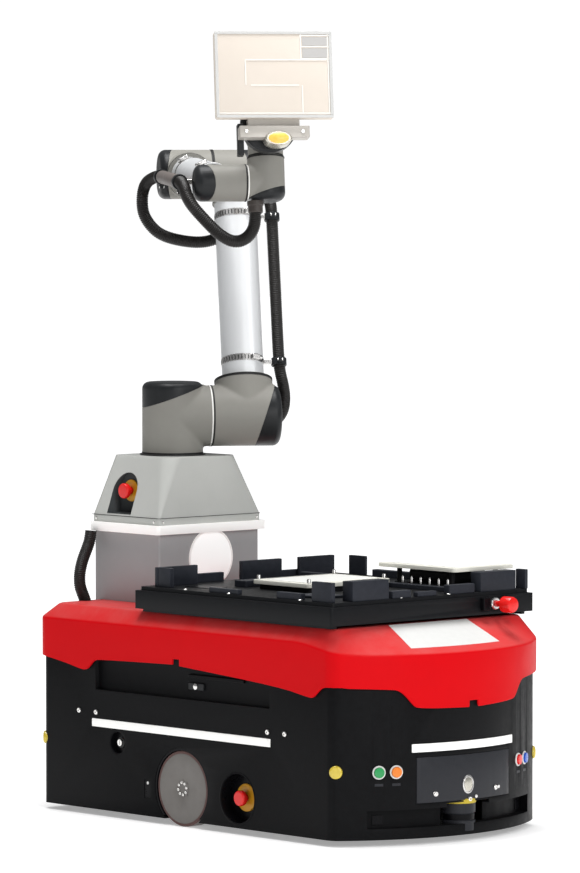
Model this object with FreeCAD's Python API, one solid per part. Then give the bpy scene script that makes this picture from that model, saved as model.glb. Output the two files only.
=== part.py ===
import FreeCAD, Part
import math
import os
from FreeCAD import Matrix, Placement, Vector

# Mobile manipulator: a wheeled base with a loading tray, a pedestal and a six-axis arm.
# Millimetres, +Z up, front along -Y.  Dimensions are set out from the middle of the base;
# every piece is then moved by -ORIGIN, which puts the frame under the overall middle.

os.makedirs("parts", exist_ok=True)

X = Vector(1, 0, 0)
Y = Vector(0, 1, 0)
Z = Vector(0, 0, 1)

# ---- driving dimensions -------------------------------------------------------------
ORIGIN = Vector(16.9, 43, 0)
GAP = 0.3                 # clearance between parts that move past each other

BASE_HALF_WIDTH = 316.0
BASE_REAR = 557.0
FRONT_RADIUS = 494.4      # the bowed front, struck about (0, FRONT_CENTRE_Y)
FRONT_CENTRE_Y = -73.6
FRONT_CORNER = 40.0
REAR_CORNER = 24.0
SHELL_BOTTOM = 14.0
SHELL_TOP = 425.0
SHELL_WALL = 5.0

HOOD_OVERHANG = 8.0
HOOD_LOW = 296.0
HOOD_EDGE = 441.0         # height of the folded edge at mid length
HOOD_TILT = 1.15          # degrees; the folded edge falls towards the front
HOOD_TOP = 487.0
HOOD_WALL = 5.0
HOOD_SPLIT_Y = 225.0

WHEEL_Y = 56.0
WHEEL_RADIUS = 87.75
WHEEL_WIDTH = 42.0
AXLE_RADIUS = 12.0
BOLT_CIRCLE = 17.0
CASTER_RADIUS = 40.0
CASTER_TRAIL = 25.0
CASTER_Y = {"front": -352.0, "rear": 420.0}

TRAY_HALF = 317.0
TRAY_FRONT = -452.0
TRAY_REAR = 221.0
TRAY_LOW = 494.0
TRAY_HIGH = 536.0
TRAY_TOP = 545.0
GUIDE_TOP = 590.0

PEDESTAL_HALF = 157.0
PEDESTAL_FRONT = 317.0
PEDESTAL_REAR = 550.0
PEDESTAL_LOW = 120.0
NICHE = 43.0              # half width of the stop button's niche
BAND_LOW = 651.0
BAND_HIGH = 672.0
CONE_LOW = 689.0
CONE_TOP = 828.0
CONE_HALF = 110.0
CONE_FRONT = 333.0
CONE_REAR = 549.0
CONE_CORNER = 36.0
SKIRT_CORNER = 6.0

ARM_X = 0.0
ARM_Y = 448.0
SHOULDER_Z = 920.0
SWING = -34.0             # heading of the shoulder axis, degrees from +X
LEAN = 19.0               # upper arm, degrees back from the vertical
FOREARM_DROP = 1.5
WRIST_LEAN = 12.0
UPPER_ARM = 605.0
FOREARM = 572.0
SHOULDER_OFFSET = 173.5
ELBOW_OFFSET = 116.5
WRIST_OFFSET = 115.0
WRIST_LENGTH = 115.0
TOOL_FLANGE = 92.0

BIG = 72.5                # housing radii: shoulder, elbow, wrist
MIDDLE = 59.5
SMALL = 43.0
UPPER_TUBE = 50.0
FORE_TUBE = 45.0
HOSE = 14.0               # conduit outside radius
BOSS_Y = 95.0             # conduit boss behind the upper arm's lower housing

BUTTON_RADIUS = 11.5
STOP_HEAD = 18.0


# ---- helpers --------------------------------------------------------------------------
def box(x0, x1, y0, y1, z0, z1):
    return Part.makeBox(x1 - x0, y1 - y0, z1 - z0, Vector(x0, y0, z0))


def rod(radius, start, axis, length):
    return Part.makeCylinder(radius, length, start, axis)


def ring(outer, inner, start, axis, length):
    return rod(outer, start, axis, length).cut(rod(inner, start - axis * 1, axis, length + 2))


def round_edges(shape, radius, wanted):
    edges = [e for e in shape.Edges if wanted(e)]
    return shape.makeFillet(radius, edges)


def upright(edge):
    if len(edge.Vertexes) < 2:
        return False
    a, b = edge.Vertexes[0].Point, edge.Vertexes[1].Point
    return abs(a.x - b.x) < 0.01 and abs(a.y - b.y) < 0.01


def block(x0, x1, y0, y1, z0, z1, radius):
    return round_edges(box(x0, x1, y0, y1, z0, z1), radius, upright)


def frame(origin, x_axis, z_axis):
    y_axis = z_axis.cross(x_axis)
    m = Matrix(x_axis.x, y_axis.x, z_axis.x, origin.x,
               x_axis.y, y_axis.y, z_axis.y, origin.y,
               x_axis.z, y_axis.z, z_axis.z, origin.z,
               0, 0, 0, 1)
    return Placement(m)


def placed(shape, placement):
    moved = shape.copy()
    moved.Placement = placement.multiply(moved.Placement)
    return moved


def export(name, *shapes):
    shape = shapes[0].copy() if len(shapes) == 1 else Part.makeCompound(list(shapes))
    shape.translate(-ORIGIN)
    solids = shape.Solids
    for solid in solids:
        if not solid.isValid():
            print("INVALID", name)
    shape.exportStep("parts/%s.step" % name)
    print("%-24s solids %d volume %.0f" % (name, len(solids), shape.Volume))


def plan(inset, z):
    """Outline of the base with its bowed front, inset by a wall thickness."""
    half = BASE_HALF_WIDTH - inset
    rear = BASE_REAR - inset
    big = FRONT_RADIUS - inset
    corner = FRONT_CORNER - inset
    back = REAR_CORNER - inset
    centre = Vector(0, FRONT_CENTRE_Y, z)
    cy = FRONT_CENTRE_Y - math.sqrt((big - corner) ** 2 - (half - corner) ** 2)
    right = Vector(half - corner, cy, z)
    out = (right - centre).normalize()
    middle = (out + X).normalize()
    left_of = lambda p: Vector(-p.x, p.y, p.z)
    side = Vector(half, cy, z)
    turn = right + middle * corner
    touch = centre + out * big
    half_angle = math.atan2(out.x, -out.y) / 2
    quarter = centre + Vector(math.sin(half_angle), -math.cos(half_angle), 0) * big
    middle_front = Vector(0, FRONT_CENTRE_Y - big, z)
    c45 = back * math.sqrt(0.5)
    rear_turn = Vector(half - back + c45, rear - back + c45, z)
    pts = [Part.Arc(left_of(touch), left_of(quarter), middle_front),
           Part.Arc(middle_front, quarter, touch),
           Part.Arc(touch, turn, side),
           Part.LineSegment(side, Vector(half, rear - back, z)),
           Part.Arc(Vector(half, rear - back, z), rear_turn, Vector(half - back, rear, z)),
           Part.LineSegment(Vector(half - back, rear, z), Vector(back - half, rear, z)),
           Part.Arc(Vector(back - half, rear, z), left_of(rear_turn), Vector(-half, rear - back, z)),
           Part.LineSegment(Vector(-half, rear - back, z), left_of(side)),
           Part.Arc(left_of(side), left_of(turn), left_of(touch))]
    return Part.Wire([p.toShape() for p in pts])


def plateau(half, front, rear, corner, z):
    """Rounded rectangle with its edges in the same order as plan()."""
    k = corner * (1 - math.sqrt(0.5))
    v = lambda x, y: Vector(x, y, z)
    pts = [Part.LineSegment(v(corner - half, front), v(0, front)),
           Part.LineSegment(v(0, front), v(half - corner, front)),
           Part.Arc(v(half - corner, front), v(half - k, front + k), v(half, front + corner)),
           Part.LineSegment(v(half, front + corner), v(half, rear - corner)),
           Part.Arc(v(half, rear - corner), v(half - k, rear - k), v(half - corner, rear)),
           Part.LineSegment(v(half - corner, rear), v(corner - half, rear)),
           Part.Arc(v(corner - half, rear), v(k - half, rear - k), v(-half, rear - corner)),
           Part.LineSegment(v(-half, rear - corner), v(-half, front + corner)),
           Part.Arc(v(-half, front + corner), v(k - half, front + k), v(corner - half, front))]
    return Part.Wire([p.toShape() for p in pts])


def prism(points, direction):
    face = Part.Face(Part.makePolygon(points + [points[0]]))
    return face.extrude(direction)


def front_patch(x0, x1, z0, z1, inner, outer):
    """Curved plate that follows the bowed front between two radii."""
    centre = Vector(0, FRONT_CENTRE_Y, z0)
    skin = ring(outer, inner, centre, Z, z1 - z0)
    return skin.common(box(x0, x1, -600, -380, z0, z1))


def front_point(x, z, radius):
    return Vector(x, FRONT_CENTRE_Y - math.sqrt(radius ** 2 - x ** 2), z)


def front_normal(x):
    p = front_point(x, 0, FRONT_RADIUS)
    return Vector(p.x, p.y - FRONT_CENTRE_Y, 0).normalize()


def hose_path(points):
    """Straight runs joined by tangent arcs; returns the wire and the bend radii."""
    edges = []
    radii = []
    last = points[0]
    for i in range(1, len(points) - 1):
        corner = points[i]
        back = (points[i - 1] - corner)
        ahead = (points[i + 1] - corner)
        turn = math.pi - back.getAngle(ahead)
        radius = 0.45 * min(back.Length, ahead.Length) / math.tan(turn / 2)
        reach = radius * math.tan(turn / 2)
        back.normalize()
        ahead.normalize()
        start = corner + back * reach
        end = corner + ahead * reach
        inward = (back + ahead).normalize()
        centre = corner + inward * (radius / math.cos(turn / 2))
        edges.append(Part.LineSegment(last, start).toShape())
        edges.append(Part.Arc(start, centre - inward * radius, end).toShape())
        radii.append(radius)
        last = end
    edges.append(Part.LineSegment(last, points[-1]).toShape())
    return Part.Wire(edges), radii


def hose(name, points, radius):
    wire, radii = hose_path(points)
    first = points[1] - points[0]
    section = Part.Wire([Part.makeCircle(radius, points[0], first)])
    tube = wire.makePipeShell([section], True, False)
    expected = math.pi * radius ** 2 * wire.Length
    print("%s length %.0f radii %s volume ratio %.4f" % (
        name, wire.Length, ["%.0f" % r for r in radii], tube.Volume / expected))
    return tube


# ---- base shell -------------------------------------------------------------------------
def shell_layer(inset, z0, z1):
    return Part.Face(plan(inset, z0)).extrude(Vector(0, 0, z1 - z0))


STOP_Y = -136.0
STOP_Z = 82.0
STOP_CUP = 58.0
STOP_DEPTH = 32.0
KEY_Y = 282.0
KEY_Z = 176.0
KEY_CUP = 27.0
KEY_DEPTH = 14.0
RECESS = (-245.0, 361.0, 295.0, 392.0)
RECESS_DEPTH = 12.0
BUTTONS = {"green": -228.0, "orange": -191.0, "red": 191.0, "blue": 228.0}
BUTTON_Z = 166.0
SCAN_LOW = 39.0           # groove along the bowed front, with the scanner in its middle
SCAN_HIGH = 80.0
SCAN_HALF = 252.0
SCAN_DEPTH = 22.0
SCANNER_Y = -520.0
SCANNER_RADIUS = 40.0
SCANNER_TOP = 87.0
SIDE_STRIP = (-248.0, 372.0, 208.0, 227.0)
FRONT_STRIP = (-156.0, 158.0, 208.0, 227.0)
SWITCH_SLOT = (165.0, 187.0, 56.0, 98.0)
LAMP_RADIUS = 15.0
LAMP_Z = 168.0
PANEL = (-145.0, 145.0, 92.0, 197.0)

side = BASE_HALF_WIDTH
shell = shell_layer(0, SHELL_BOTTOM, SHELL_TOP)
shell = shell.cut(shell_layer(SHELL_WALL, SHELL_BOTTOM + 6, SHELL_TOP + 1))
for s in (-1, 1):
    face_x = s * side
    inward = Vector(-s, 0, 0)
    y0, y1, z0, z1 = RECESS
    back = sorted((face_x, face_x - s * (RECESS_DEPTH + SHELL_WALL)))
    pocket = sorted((face_x + s, face_x - s * RECESS_DEPTH))
    shell = shell.fuse(box(back[0], back[1], y0 - 5, y1 + 5, z0 - 5, z1 + 5))
    shell = shell.cut(box(pocket[0], pocket[1], y0, y1, z0, z1))
    cup = Vector(face_x, STOP_Y, STOP_Z)
    shell = shell.fuse(rod(STOP_CUP + 5, cup, inward, STOP_DEPTH + 5))
    shell = shell.cut(rod(STOP_CUP, cup - inward, inward, STOP_DEPTH + 1))
    shell = shell.cut(rod(9, cup, inward, STOP_DEPTH + 20))
    hub = Vector(face_x + s * 2, WHEEL_Y, WHEEL_RADIUS)
    shell = shell.cut(rod(WHEEL_RADIUS + 6, hub, inward, 60))
    strip = sorted((face_x + s, face_x - s * 2.5))
    shell = shell.cut(box(strip[0], strip[1], SIDE_STRIP[0], SIDE_STRIP[1], SIDE_STRIP[2], SIDE_STRIP[3]))
key = Vector(-side, KEY_Y, KEY_Z)
shell = shell.fuse(rod(KEY_CUP + 5, key, X, KEY_DEPTH + 5))
shell = shell.cut(rod(KEY_CUP, key - X, X, KEY_DEPTH + 1))
shell = shell.cut(rod(8 + GAP, key, X, KEY_DEPTH + 8))
shell = shell.cut(box(-side - 1, -side + 3, *SWITCH_SLOT))
groove_back = FRONT_RADIUS - SCAN_DEPTH
shell = shell.fuse(front_patch(-SCAN_HALF - 5, SCAN_HALF + 5, SCAN_LOW - 5, SCAN_HIGH + 5,
                               groove_back - 5, FRONT_RADIUS - 1))
shell = shell.cut(front_patch(-SCAN_HALF, SCAN_HALF, SCAN_LOW, SCAN_HIGH, groove_back, FRONT_RADIUS + 5))
shell = shell.cut(front_patch(-66, 66, SCAN_LOW, SCANNER_TOP + 2, FRONT_RADIUS - 60, FRONT_RADIUS + 5))
shell = shell.cut(rod(SCANNER_RADIUS + 1, Vector(0, SCANNER_Y, 21), Z, 30))
shell = shell.cut(front_patch(*FRONT_STRIP, FRONT_RADIUS - 2.5, FRONT_RADIUS + 5))
shell = shell.cut(front_patch(*PANEL, FRONT_RADIUS - 2.5, FRONT_RADIUS + 5))
for y in CASTER_Y.values():
    shell = shell.cut(rod(78, Vector(0, y, 0), Z, 30))
    for s in (-1, 1):
        x0, x1 = sorted((s * 84, s * 92))
        shell = shell.fuse(box(x0, x1, y - 50, y + 50, 19, 112))
    bridge = box(-92, 92, y - 50, y + 50, 104, 112)
    bridge = bridge.cut(rod(10.05, Vector(0, y, 100), Z, 20))
    shell = shell.fuse(bridge)
post = box(-PEDESTAL_HALF, PEDESTAL_HALF, PEDESTAL_FRONT, 545, PEDESTAL_LOW - 8, PEDESTAL_LOW)
legs = [box(x, x + 10, PEDESTAL_FRONT, 545, 19, PEDESTAL_LOW - 7) for x in (-157, 147)]
shell = shell.fuse([post] + legs)
shell = shell.cut(rod(10.05, Vector(0, CASTER_Y["rear"], 90), Z, 40))
for x in BUTTONS.values():
    normal = front_normal(x)
    start = front_point(x, BUTTON_Z, FRONT_RADIUS) - normal * 12
    shell = shell.cut(rod(BUTTON_RADIUS + GAP, start, normal, 20))
export("base_shell", shell)

# ---- hood -------------------------------------------------------------------------------
def hood_form(inset):
    low = plan(inset - HOOD_OVERHANG, HOOD_LOW - (1 if inset else 0))
    edge = plan(inset - HOOD_OVERHANG, HOOD_EDGE - inset * 0.6)
    edge.rotate(Vector(0, 0, HOOD_EDGE), X, HOOD_TILT)
    top = plateau(292 - inset, -440 + inset, 532 - inset, 24, HOOD_TOP - inset)
    return Part.makeLoft([low, edge, top], True, True)


hood = hood_form(0).cut(hood_form(HOOD_WALL))
side_edge = [(590, 370), (461, 352), (404, 340), (386, 340), (374, 349), (360, 362), (344, 367),
             (80, 373), (80, 386), (56, 386), (56, 371), (-285, 348), (-380, 332), (-396, 331),
             (-408, 340), (-422, 353), (-436, 358), (-452, 358), (-452, 280), (590, 280)]
front_edge = [(-340, 358), (-205, 352), (-188, 348), (-174, 336), (-156, 314), (-144, 307), (-8, 303),
              (-8, 318), (20, 318), (20, 303), (150, 308), (164, 315), (180, 336), (194, 349),
              (210, 353), (340, 358), (340, 280), (-340, 280)]
hood = hood.cut(prism([Vector(-340, y, z) for y, z in side_edge], Vector(680, 0, 0)))
hood = hood.cut(prism([Vector(x, -600, z) for x, z in front_edge], Vector(0, 148.5, 0)))
hood = hood.cut(box(-PEDESTAL_HALF - 1, PEDESTAL_HALF + 1, PEDESTAL_FRONT - 1, PEDESTAL_REAR + 1, 424, 500))
hood = hood.cut(rod(HOSE + 4, Vector(-204, 528, 440), Z, 60))
front_half = hood.common(box(-340, 340, -600, HOOD_SPLIT_Y - 0.5, 200, 600))
rear_half = hood.common(box(-340, 340, HOOD_SPLIT_Y + 0.5, 600, 200, 600))
export("hood_front", front_half)
export("hood_rear", rear_half)

# ---- base fittings ----------------------------------------------------------------------
strips = []
for s in (-1, 1):
    x0, x1 = sorted((s * (side - 2.5), s * (side + 2)))
    strips.append(box(x0, x1, SIDE_STRIP[0] + 0.2, SIDE_STRIP[1] - 0.2, SIDE_STRIP[2] + 0.2, SIDE_STRIP[3] - 0.2))
x0, x1, z0, z1 = FRONT_STRIP
strips.append(front_patch(x0 + 0.2, x1 - 0.2, z0 + 0.2, z1 - 0.2, FRONT_RADIUS - 2.5, FRONT_RADIUS + 2))
export("light_strips", *strips)

x0, x1, z0, z1 = PANEL
export("access_panel", front_patch(x0 + 1, x1 - 1, z0 + 1, z1 - 1, FRONT_RADIUS - 2.5, FRONT_RADIUS + 0.5))

scanner = rod(SCANNER_RADIUS, Vector(0, SCANNER_Y, 21.5), Z, SCANNER_TOP - 21.5)
scanner = scanner.fuse(box(-28, 28, SCANNER_Y, SCANNER_Y + 60, 20.3, SCANNER_TOP))
export("laser_scanner", scanner)

collars = []
for s in (-1, 1):
    floor = Vector(s * (side - STOP_DEPTH), STOP_Y, STOP_Z)
    collars.append(ring(32, 8 + GAP, floor, Vector(s, 0, 0), 6))
PED_STOP = Vector(-124, 461, 747)
collars.append(ring(26, 8 + GAP, PED_STOP + X * 10, -X, 6))
export("stop_collars", *collars)

screws = []
for s in (-1, 1):
    for y, z in ((419, 242), (358, 242), (-239, 242), (-297, 242)):
        screws.append(rod(5, Vector(s * side, y, z), Vector(s, 0, 0), 1.8))
for x, z in ((-100, 114), (100, 114), (20, 99)):
    screws.append(rod(4, front_point(x, z, FRONT_RADIUS + 0.5), front_normal(x), 1.5))
export("body_screws", *screws)

corner_y = FRONT_CENTRE_Y - math.sqrt((FRONT_RADIUS - FRONT_CORNER) ** 2 - (side - FRONT_CORNER) ** 2)
rear_y = BASE_REAR - REAR_CORNER
body_form = shell_layer(0, LAMP_Z - 40, LAMP_Z + 40)
lamps = []
for s in (-1, 1):
    for radius, y, angle in ((FRONT_CORNER, corner_y, -35.0), (REAR_CORNER, rear_y, 45.0)):
        centre = Vector(s * (side - radius), y, LAMP_Z)
        outward = Vector(s * math.cos(math.radians(angle)), math.sin(math.radians(angle)), 0)
        lens = rod(LAMP_RADIUS, centre + outward * (radius - 8), outward, 14)
        lens = round_edges(lens, 5, lambda e: len(e.Vertexes) == 1 and (e.CenterOfMass - centre).Length > radius)
        lamps.append(lens.cut(body_form))
export("corner_lamps", *lamps)

export("battery", block(-150, 150, -255, -40, 20.5, 210, 8))

motors = []
for s in (-1, 1):
    motor = rod(44, Vector(s * 100, WHEEL_Y, WHEEL_RADIUS), Vector(s, 0, 0), 156)
    motor = motor.fuse(rod(AXLE_RADIUS, Vector(s * 250, WHEEL_Y, WHEEL_RADIUS), Vector(s, 0, 0), 58))
    x0, x1 = sorted((s * 120, s * 240))
    motor = motor.fuse(box(x0, x1, WHEEL_Y - 36, WHEEL_Y + 36, 20, WHEEL_RADIUS))
    motors.append(motor)
export("drive_motors", *motors)

for s, name in ((-1, "left"), (1, "right")):
    start = Vector(s * (side - 4), WHEEL_Y, WHEEL_RADIUS)
    inward = Vector(-s, 0, 0)
    wheel = rod(WHEEL_RADIUS, start, inward, WHEEL_WIDTH)
    wheel = round_edges(wheel, 5, lambda e: len(e.Vertexes) == 1)
    wheel = wheel.cut(rod(AXLE_RADIUS + 0.05, start + inward * 4, inward, 60))
    wheel = wheel.cut(ring(70, 26, start + inward * 14, inward, 40))
    for i in range(8):
        a = math.pi / 4 * i
        at = start + Vector(0, BOLT_CIRCLE * math.cos(a), BOLT_CIRCLE * math.sin(a))
        wheel = wheel.fuse(rod(3.4, at + inward * 0.5, -inward, 2.5))
    export("drive_wheel_" + name, wheel)

for name, y in CASTER_Y.items():
    fork = rod(10, Vector(0, y, 92), Z, 20)
    fork = fork.fuse(rod(34, Vector(0, y, 94), Z, 8))
    for s in (-1, 1):
        x0, x1 = sorted((s * 18, s * 23))
        fork = fork.fuse(box(x0, x1, y - 20, y + CASTER_TRAIL + 14, CASTER_RADIUS - 14, 95))
    hub = Vector(-27, y + CASTER_TRAIL, CASTER_RADIUS)
    fork = fork.fuse(rod(6, hub, X, 54))
    export("caster_fork_" + name, fork)
    roller = rod(CASTER_RADIUS, Vector(-15, y + CASTER_TRAIL, CASTER_RADIUS), X, 30)
    roller = round_edges(roller, 4, lambda e: len(e.Vertexes) == 1)
    roller = roller.cut(rod(6.05, hub, X, 60))
    export("caster_wheel_" + name, roller)

for name, x in BUTTONS.items():
    normal = front_normal(x)
    start = front_point(x, BUTTON_Z, FRONT_RADIUS) - normal * 14
    button = rod(BUTTON_RADIUS, start, normal, 20).fuse(rod(BUTTON_RADIUS + 4, start, normal, 3))
    export("button_" + name, button)


def mushroom(face, axis):
    head = rod(STOP_HEAD, face, axis, 14)
    head = round_edges(head, 4, lambda e: len(e.Vertexes) == 1)
    return head.fuse(rod(8, face - axis * 34, axis, 36))


for s, name in ((-1, "left"), (1, "right")):
    face = Vector(s * (side - STOP_DEPTH + 15), STOP_Y, STOP_Z)
    export("stop_button_" + name, mushroom(face, Vector(s, 0, 0)))
export("stop_button_pedestal", mushroom(PED_STOP + X * -8, -X))

key_barrel = rod(8, Vector(-side + KEY_DEPTH + 7, KEY_Y, KEY_Z), -X, 15)
key_barrel = key_barrel.cut(box(-side - 1, -side + KEY_DEPTH - 5, KEY_Y - 1, KEY_Y + 1, KEY_Z - 5, KEY_Z + 5))
export("key_lock", key_barrel)

# ---- tray -------------------------------------------------------------------------------
deck = block(-TRAY_HALF, TRAY_HALF, TRAY_FRONT, TRAY_REAR, TRAY_LOW, TRAY_HIGH, 6)
deck = deck.fuse(block(-TRAY_HALF + 13, TRAY_HALF - 13, TRAY_FRONT + 13, TRAY_REAR - 13, HOOD_TOP, TRAY_LOW, 6))
deck = deck.fuse(block(-TRAY_HALF + 10, TRAY_HALF - 10, TRAY_FRONT + 8, TRAY_REAR - 10, TRAY_HIGH, TRAY_TOP, 6))
deck = deck.cut(box(-TRAY_HALF + 28, TRAY_HALF - 28, TRAY_FRONT + 12, TRAY_REAR - 28, HOOD_TOP - 1, TRAY_HIGH - 2))
KNOB = Vector(191, TRAY_FRONT, 518)
deck = deck.cut(rod(7 + GAP, KNOB - Y * 5, Y, 30))
export("tray_deck", deck.removeSplitter())

knob = rod(7, KNOB + Y * 20, -Y, 60)
knob = knob.fuse(rod(10, KNOB - Y * 1, -Y, 14))
knob = knob.fuse(rod(18.6, KNOB - Y * 30, -Y, 32))
export("tray_knob", knob)

GUIDES = [(-290, -168, 167, 179), (-290, -278, 125, 166.5), (-17, 108, 180, 192),
          (167, 277, 180, 192), (300, 307, 98, 155), (-300, -288, -433, -368),
          (-241, -129, -440, -406), (159, 271, -440, -406), (298, 307, -443, -412)]
guides = [box(x0, x1, y0, y1, TRAY_TOP, GUIDE_TOP) for x0, x1, y0, y1 in GUIDES]
export("tray_guides", *guides)

low_block = block(-150, 90, -198, -25, TRAY_TOP, 557, 6)
stand = block(130, 288, -375, -180, TRAY_TOP, 557, 6)
for x in (140, 278):
    for y in (-365, -190):
        stand = stand.fuse(rod(6, Vector(x, y, 550), Z, 40))
export("carrier_supports", low_block, stand)
export("carriers", block(-161, 97, -207, -13, 557, 566, 10), block(112, 306, -401, -143, 590, 599, 10))

# ---- pedestal ---------------------------------------------------------------------------
column = block(-PEDESTAL_HALF, PEDESTAL_HALF, PEDESTAL_FRONT, PEDESTAL_REAR, PEDESTAL_LOW, BAND_LOW, 5)
column = column.cut(box(-151, 151, PEDESTAL_FRONT + 6, PEDESTAL_REAR - 6, PEDESTAL_LOW + 6, BAND_LOW - 6))
export("pedestal_box", column)
band = block(-171, 171, PEDESTAL_FRONT - 13, PEDESTAL_REAR + 5.5, BAND_LOW, BAND_HIGH, 10)
band = band.cut(box(-120, 120, 350, 520, BAND_LOW - 1, BAND_HIGH + 1))
export("light_band", band)
skirt = block(-160, 160, PEDESTAL_FRONT - 3, PEDESTAL_REAR + 3, BAND_HIGH, CONE_LOW, SKIRT_CORNER)
low_wire = plateau(160, PEDESTAL_FRONT - 3, PEDESTAL_REAR + 3, SKIRT_CORNER, CONE_LOW)
top_wire = plateau(CONE_HALF, CONE_FRONT, CONE_REAR, CONE_CORNER, CONE_TOP)
cone = Part.makeLoft([low_wire, top_wire], True, True)
inner_low = plateau(155, PEDESTAL_FRONT + 2, PEDESTAL_REAR - 2, 2, CONE_LOW)
inner_top = plateau(CONE_HALF - 5, CONE_FRONT + 5, CONE_REAR - 5, CONE_CORNER - 5, CONE_TOP - 8)
cavity = Part.makeLoft([inner_low, inner_top], True, True)
niche = rod(NICHE, PED_STOP + X * 60, -X, 160)
niche = niche.fuse(box(-184, PED_STOP.x + 60, PED_STOP.y - NICHE, PED_STOP.y + NICHE, 693, PED_STOP.z))
niche_floor = PED_STOP.x + 10
thick = rod(NICHE + 4, PED_STOP + X * 14, -X, 160)
thick = thick.fuse(box(-184, PED_STOP.x + 14, PED_STOP.y - NICHE - 4, PED_STOP.y + NICHE + 4, 689, PED_STOP.z))
thick = thick.common(cone)
cover = cone.cut(cavity).fuse(skirt.cut(box(-152, 152, PEDESTAL_FRONT + 5, PEDESTAL_REAR - 5, 660, 700)))
cover = cover.fuse(thick)
cover = cover.cut(niche.common(box(-184, niche_floor, 300, 600, 690, 800)))
cover = cover.cut(rod(9, PED_STOP + X * 30, -X, 60))
export("pedestal_hood", cover)
pedestal_line = [Vector(-184, 532, 651), Vector(-187, 531.6, 630), Vector(-198, 531, 608),
                 Vector(-213, 530.4, 580), Vector(-222, 529.8, 549), Vector(-221, 529.2, 519),
                 Vector(-208, 528.6, 494), Vector(-199, 528, 470)]
export("pedestal_conduit", hose("pedestal_conduit", pedestal_line, HOSE - 0.5))

# ---- arm frames -------------------------------------------------------------------------
swing = math.radians(SWING)
n1 = Vector(math.cos(swing), math.sin(swing), 0)
away = Vector(-n1.y, n1.x, 0)


def leaning(degrees):
    a = math.radians(degrees)
    return Z * math.cos(a) + away * math.sin(a)


up_arm = leaning(LEAN)
forward = -away * math.cos(math.radians(FOREARM_DROP)) - Z * math.sin(math.radians(FOREARM_DROP))
wrist_up = leaning(WRIST_LEAN)
tool = -away * math.cos(math.radians(WRIST_LEAN)) + Z * math.sin(math.radians(WRIST_LEAN))

shoulder = Vector(ARM_X, ARM_Y, SHOULDER_Z)
upper_low = shoulder + n1 * SHOULDER_OFFSET
upper_high = upper_low + up_arm * UPPER_ARM
elbow = upper_high - n1 * ELBOW_OFFSET
wrist_1 = elbow + forward * FOREARM
wrist_2 = wrist_1 + n1 * WRIST_OFFSET
wrist_3 = wrist_2 + wrist_up * WRIST_LENGTH
flange = wrist_3 + tool * TOOL_FLANGE
for name, p in (("shoulder", shoulder), ("upper_high", upper_high), ("elbow", elbow),
                ("wrist_1", wrist_1), ("wrist_2", wrist_2), ("wrist_3", wrist_3), ("flange", flange)):
    print("AXIS", name, [round(c, 3) for c in p - ORIGIN])
for name, v in (("n1", n1), ("up_arm", up_arm), ("forward", forward), ("wrist_up", wrist_up), ("tool", tool)):
    print("DIR", name, [round(c, 6) for c in v])


def housing(radius, back, front, neck_radius, neck_length, seam_near, seam_far):
    """Cast joint housing and its oblique lid.

    Barrel along +X from -back to front, neck along +Z.  The lid seam crosses the barrel at
    seam_near on the neck side and at seam_far opposite.
    """
    wall = 6.0
    barrel = rod(radius, Vector(-back, 0, 0), X, back + front)
    rim = [e for e in barrel.Edges if len(e.Vertexes) == 1 and e.CenterOfMass.x > 0]
    barrel = barrel.makeFillet(min(10, radius * 0.16), rim)
    neck = rod(neck_radius, Vector(0, 0, 0), Z, neck_length)
    bore = rod(radius - wall, Vector(-back + 8, 0, 0), X, back + front - 8 - 5)
    throat = rod(neck_radius - wall, Vector(0, 0, 0), Z, neck_length - 8)
    slope = math.degrees(math.atan2(seam_near - seam_far, 2 * radius))
    middle = (seam_near + seam_far) / 2
    beyond = Part.makeBox(400, 400, 400, Vector(0, -200, -200))
    beyond.rotate(Vector(0, 0, 0), Y, slope)
    beyond.translate(Vector(middle, 0, 0))
    casting = barrel.cut(beyond).fuse(neck).cut(bore.fuse(throat)).cut(beyond)
    beyond.translate(Vector(0.6, 0, 0))
    lid = barrel.common(beyond).cut(bore)
    return casting, lid


def add_housing(name, placement, *sizes):
    casting, lid = housing(*sizes)
    export(name + "_housing", placed(casting, placement))
    export(name + "_lid", placed(lid, placement))


# ---- arm --------------------------------------------------------------------------------
foot = ring(78, 40, Vector(ARM_X, ARM_Y, CONE_TOP), Z, 3.5)
foot = foot.fuse(ring(60, 40, Vector(ARM_X, ARM_Y, CONE_TOP + 1), Z, 2))
export("arm_foot", foot)

add_housing("shoulder", frame(shoulder, Z, n1), BIG, SHOULDER_Z - CONE_TOP - 4, 82,
            BIG, SHOULDER_OFFSET - 83.5, 74, 21)
low_arm = frame(upper_low, n1, up_arm)
casting, lid = housing(BIG, 83, 82, 69, 89, 73, 22)
boss = rod(HOSE + 4, Vector(12, BOSS_Y, 3), X, 26)
boss = boss.fuse(box(12, 38, 60, BOSS_Y, -10, 16)).cut(rod(BIG - 3, Vector(-40, 0, 0), X, 100))
export("upper_low_housing", placed(casting.fuse(boss), low_arm))
export("upper_low_lid", placed(lid, low_arm))
export("upper_tube", placed(ring(UPPER_TUBE, UPPER_TUBE - 4, Vector(0, 0, 89), Z, UPPER_ARM - 89 - 76), low_arm))
add_housing("upper_high", frame(upper_high, n1, -up_arm), MIDDLE, ELBOW_OFFSET - 62, 64, 54, 76, 49, 17)
fore = frame(elbow, -n1, forward)
add_housing("elbow", fore, MIDDLE, 61.5, 66, 54, 80, 50, 16)
export("fore_tube", placed(ring(FORE_TUBE, FORE_TUBE - 4, Vector(0, 0, 80), Z, FOREARM - 80 - 62), fore))
add_housing("wrist_1", frame(wrist_1, -n1, -forward), SMALL, 67, 55, 41, 62, 50, 8)
add_housing("wrist_2", frame(wrist_2, -wrist_up, -n1), SMALL, 60, 43, 41, WRIST_OFFSET - 67.5, 36, 9)
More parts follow.
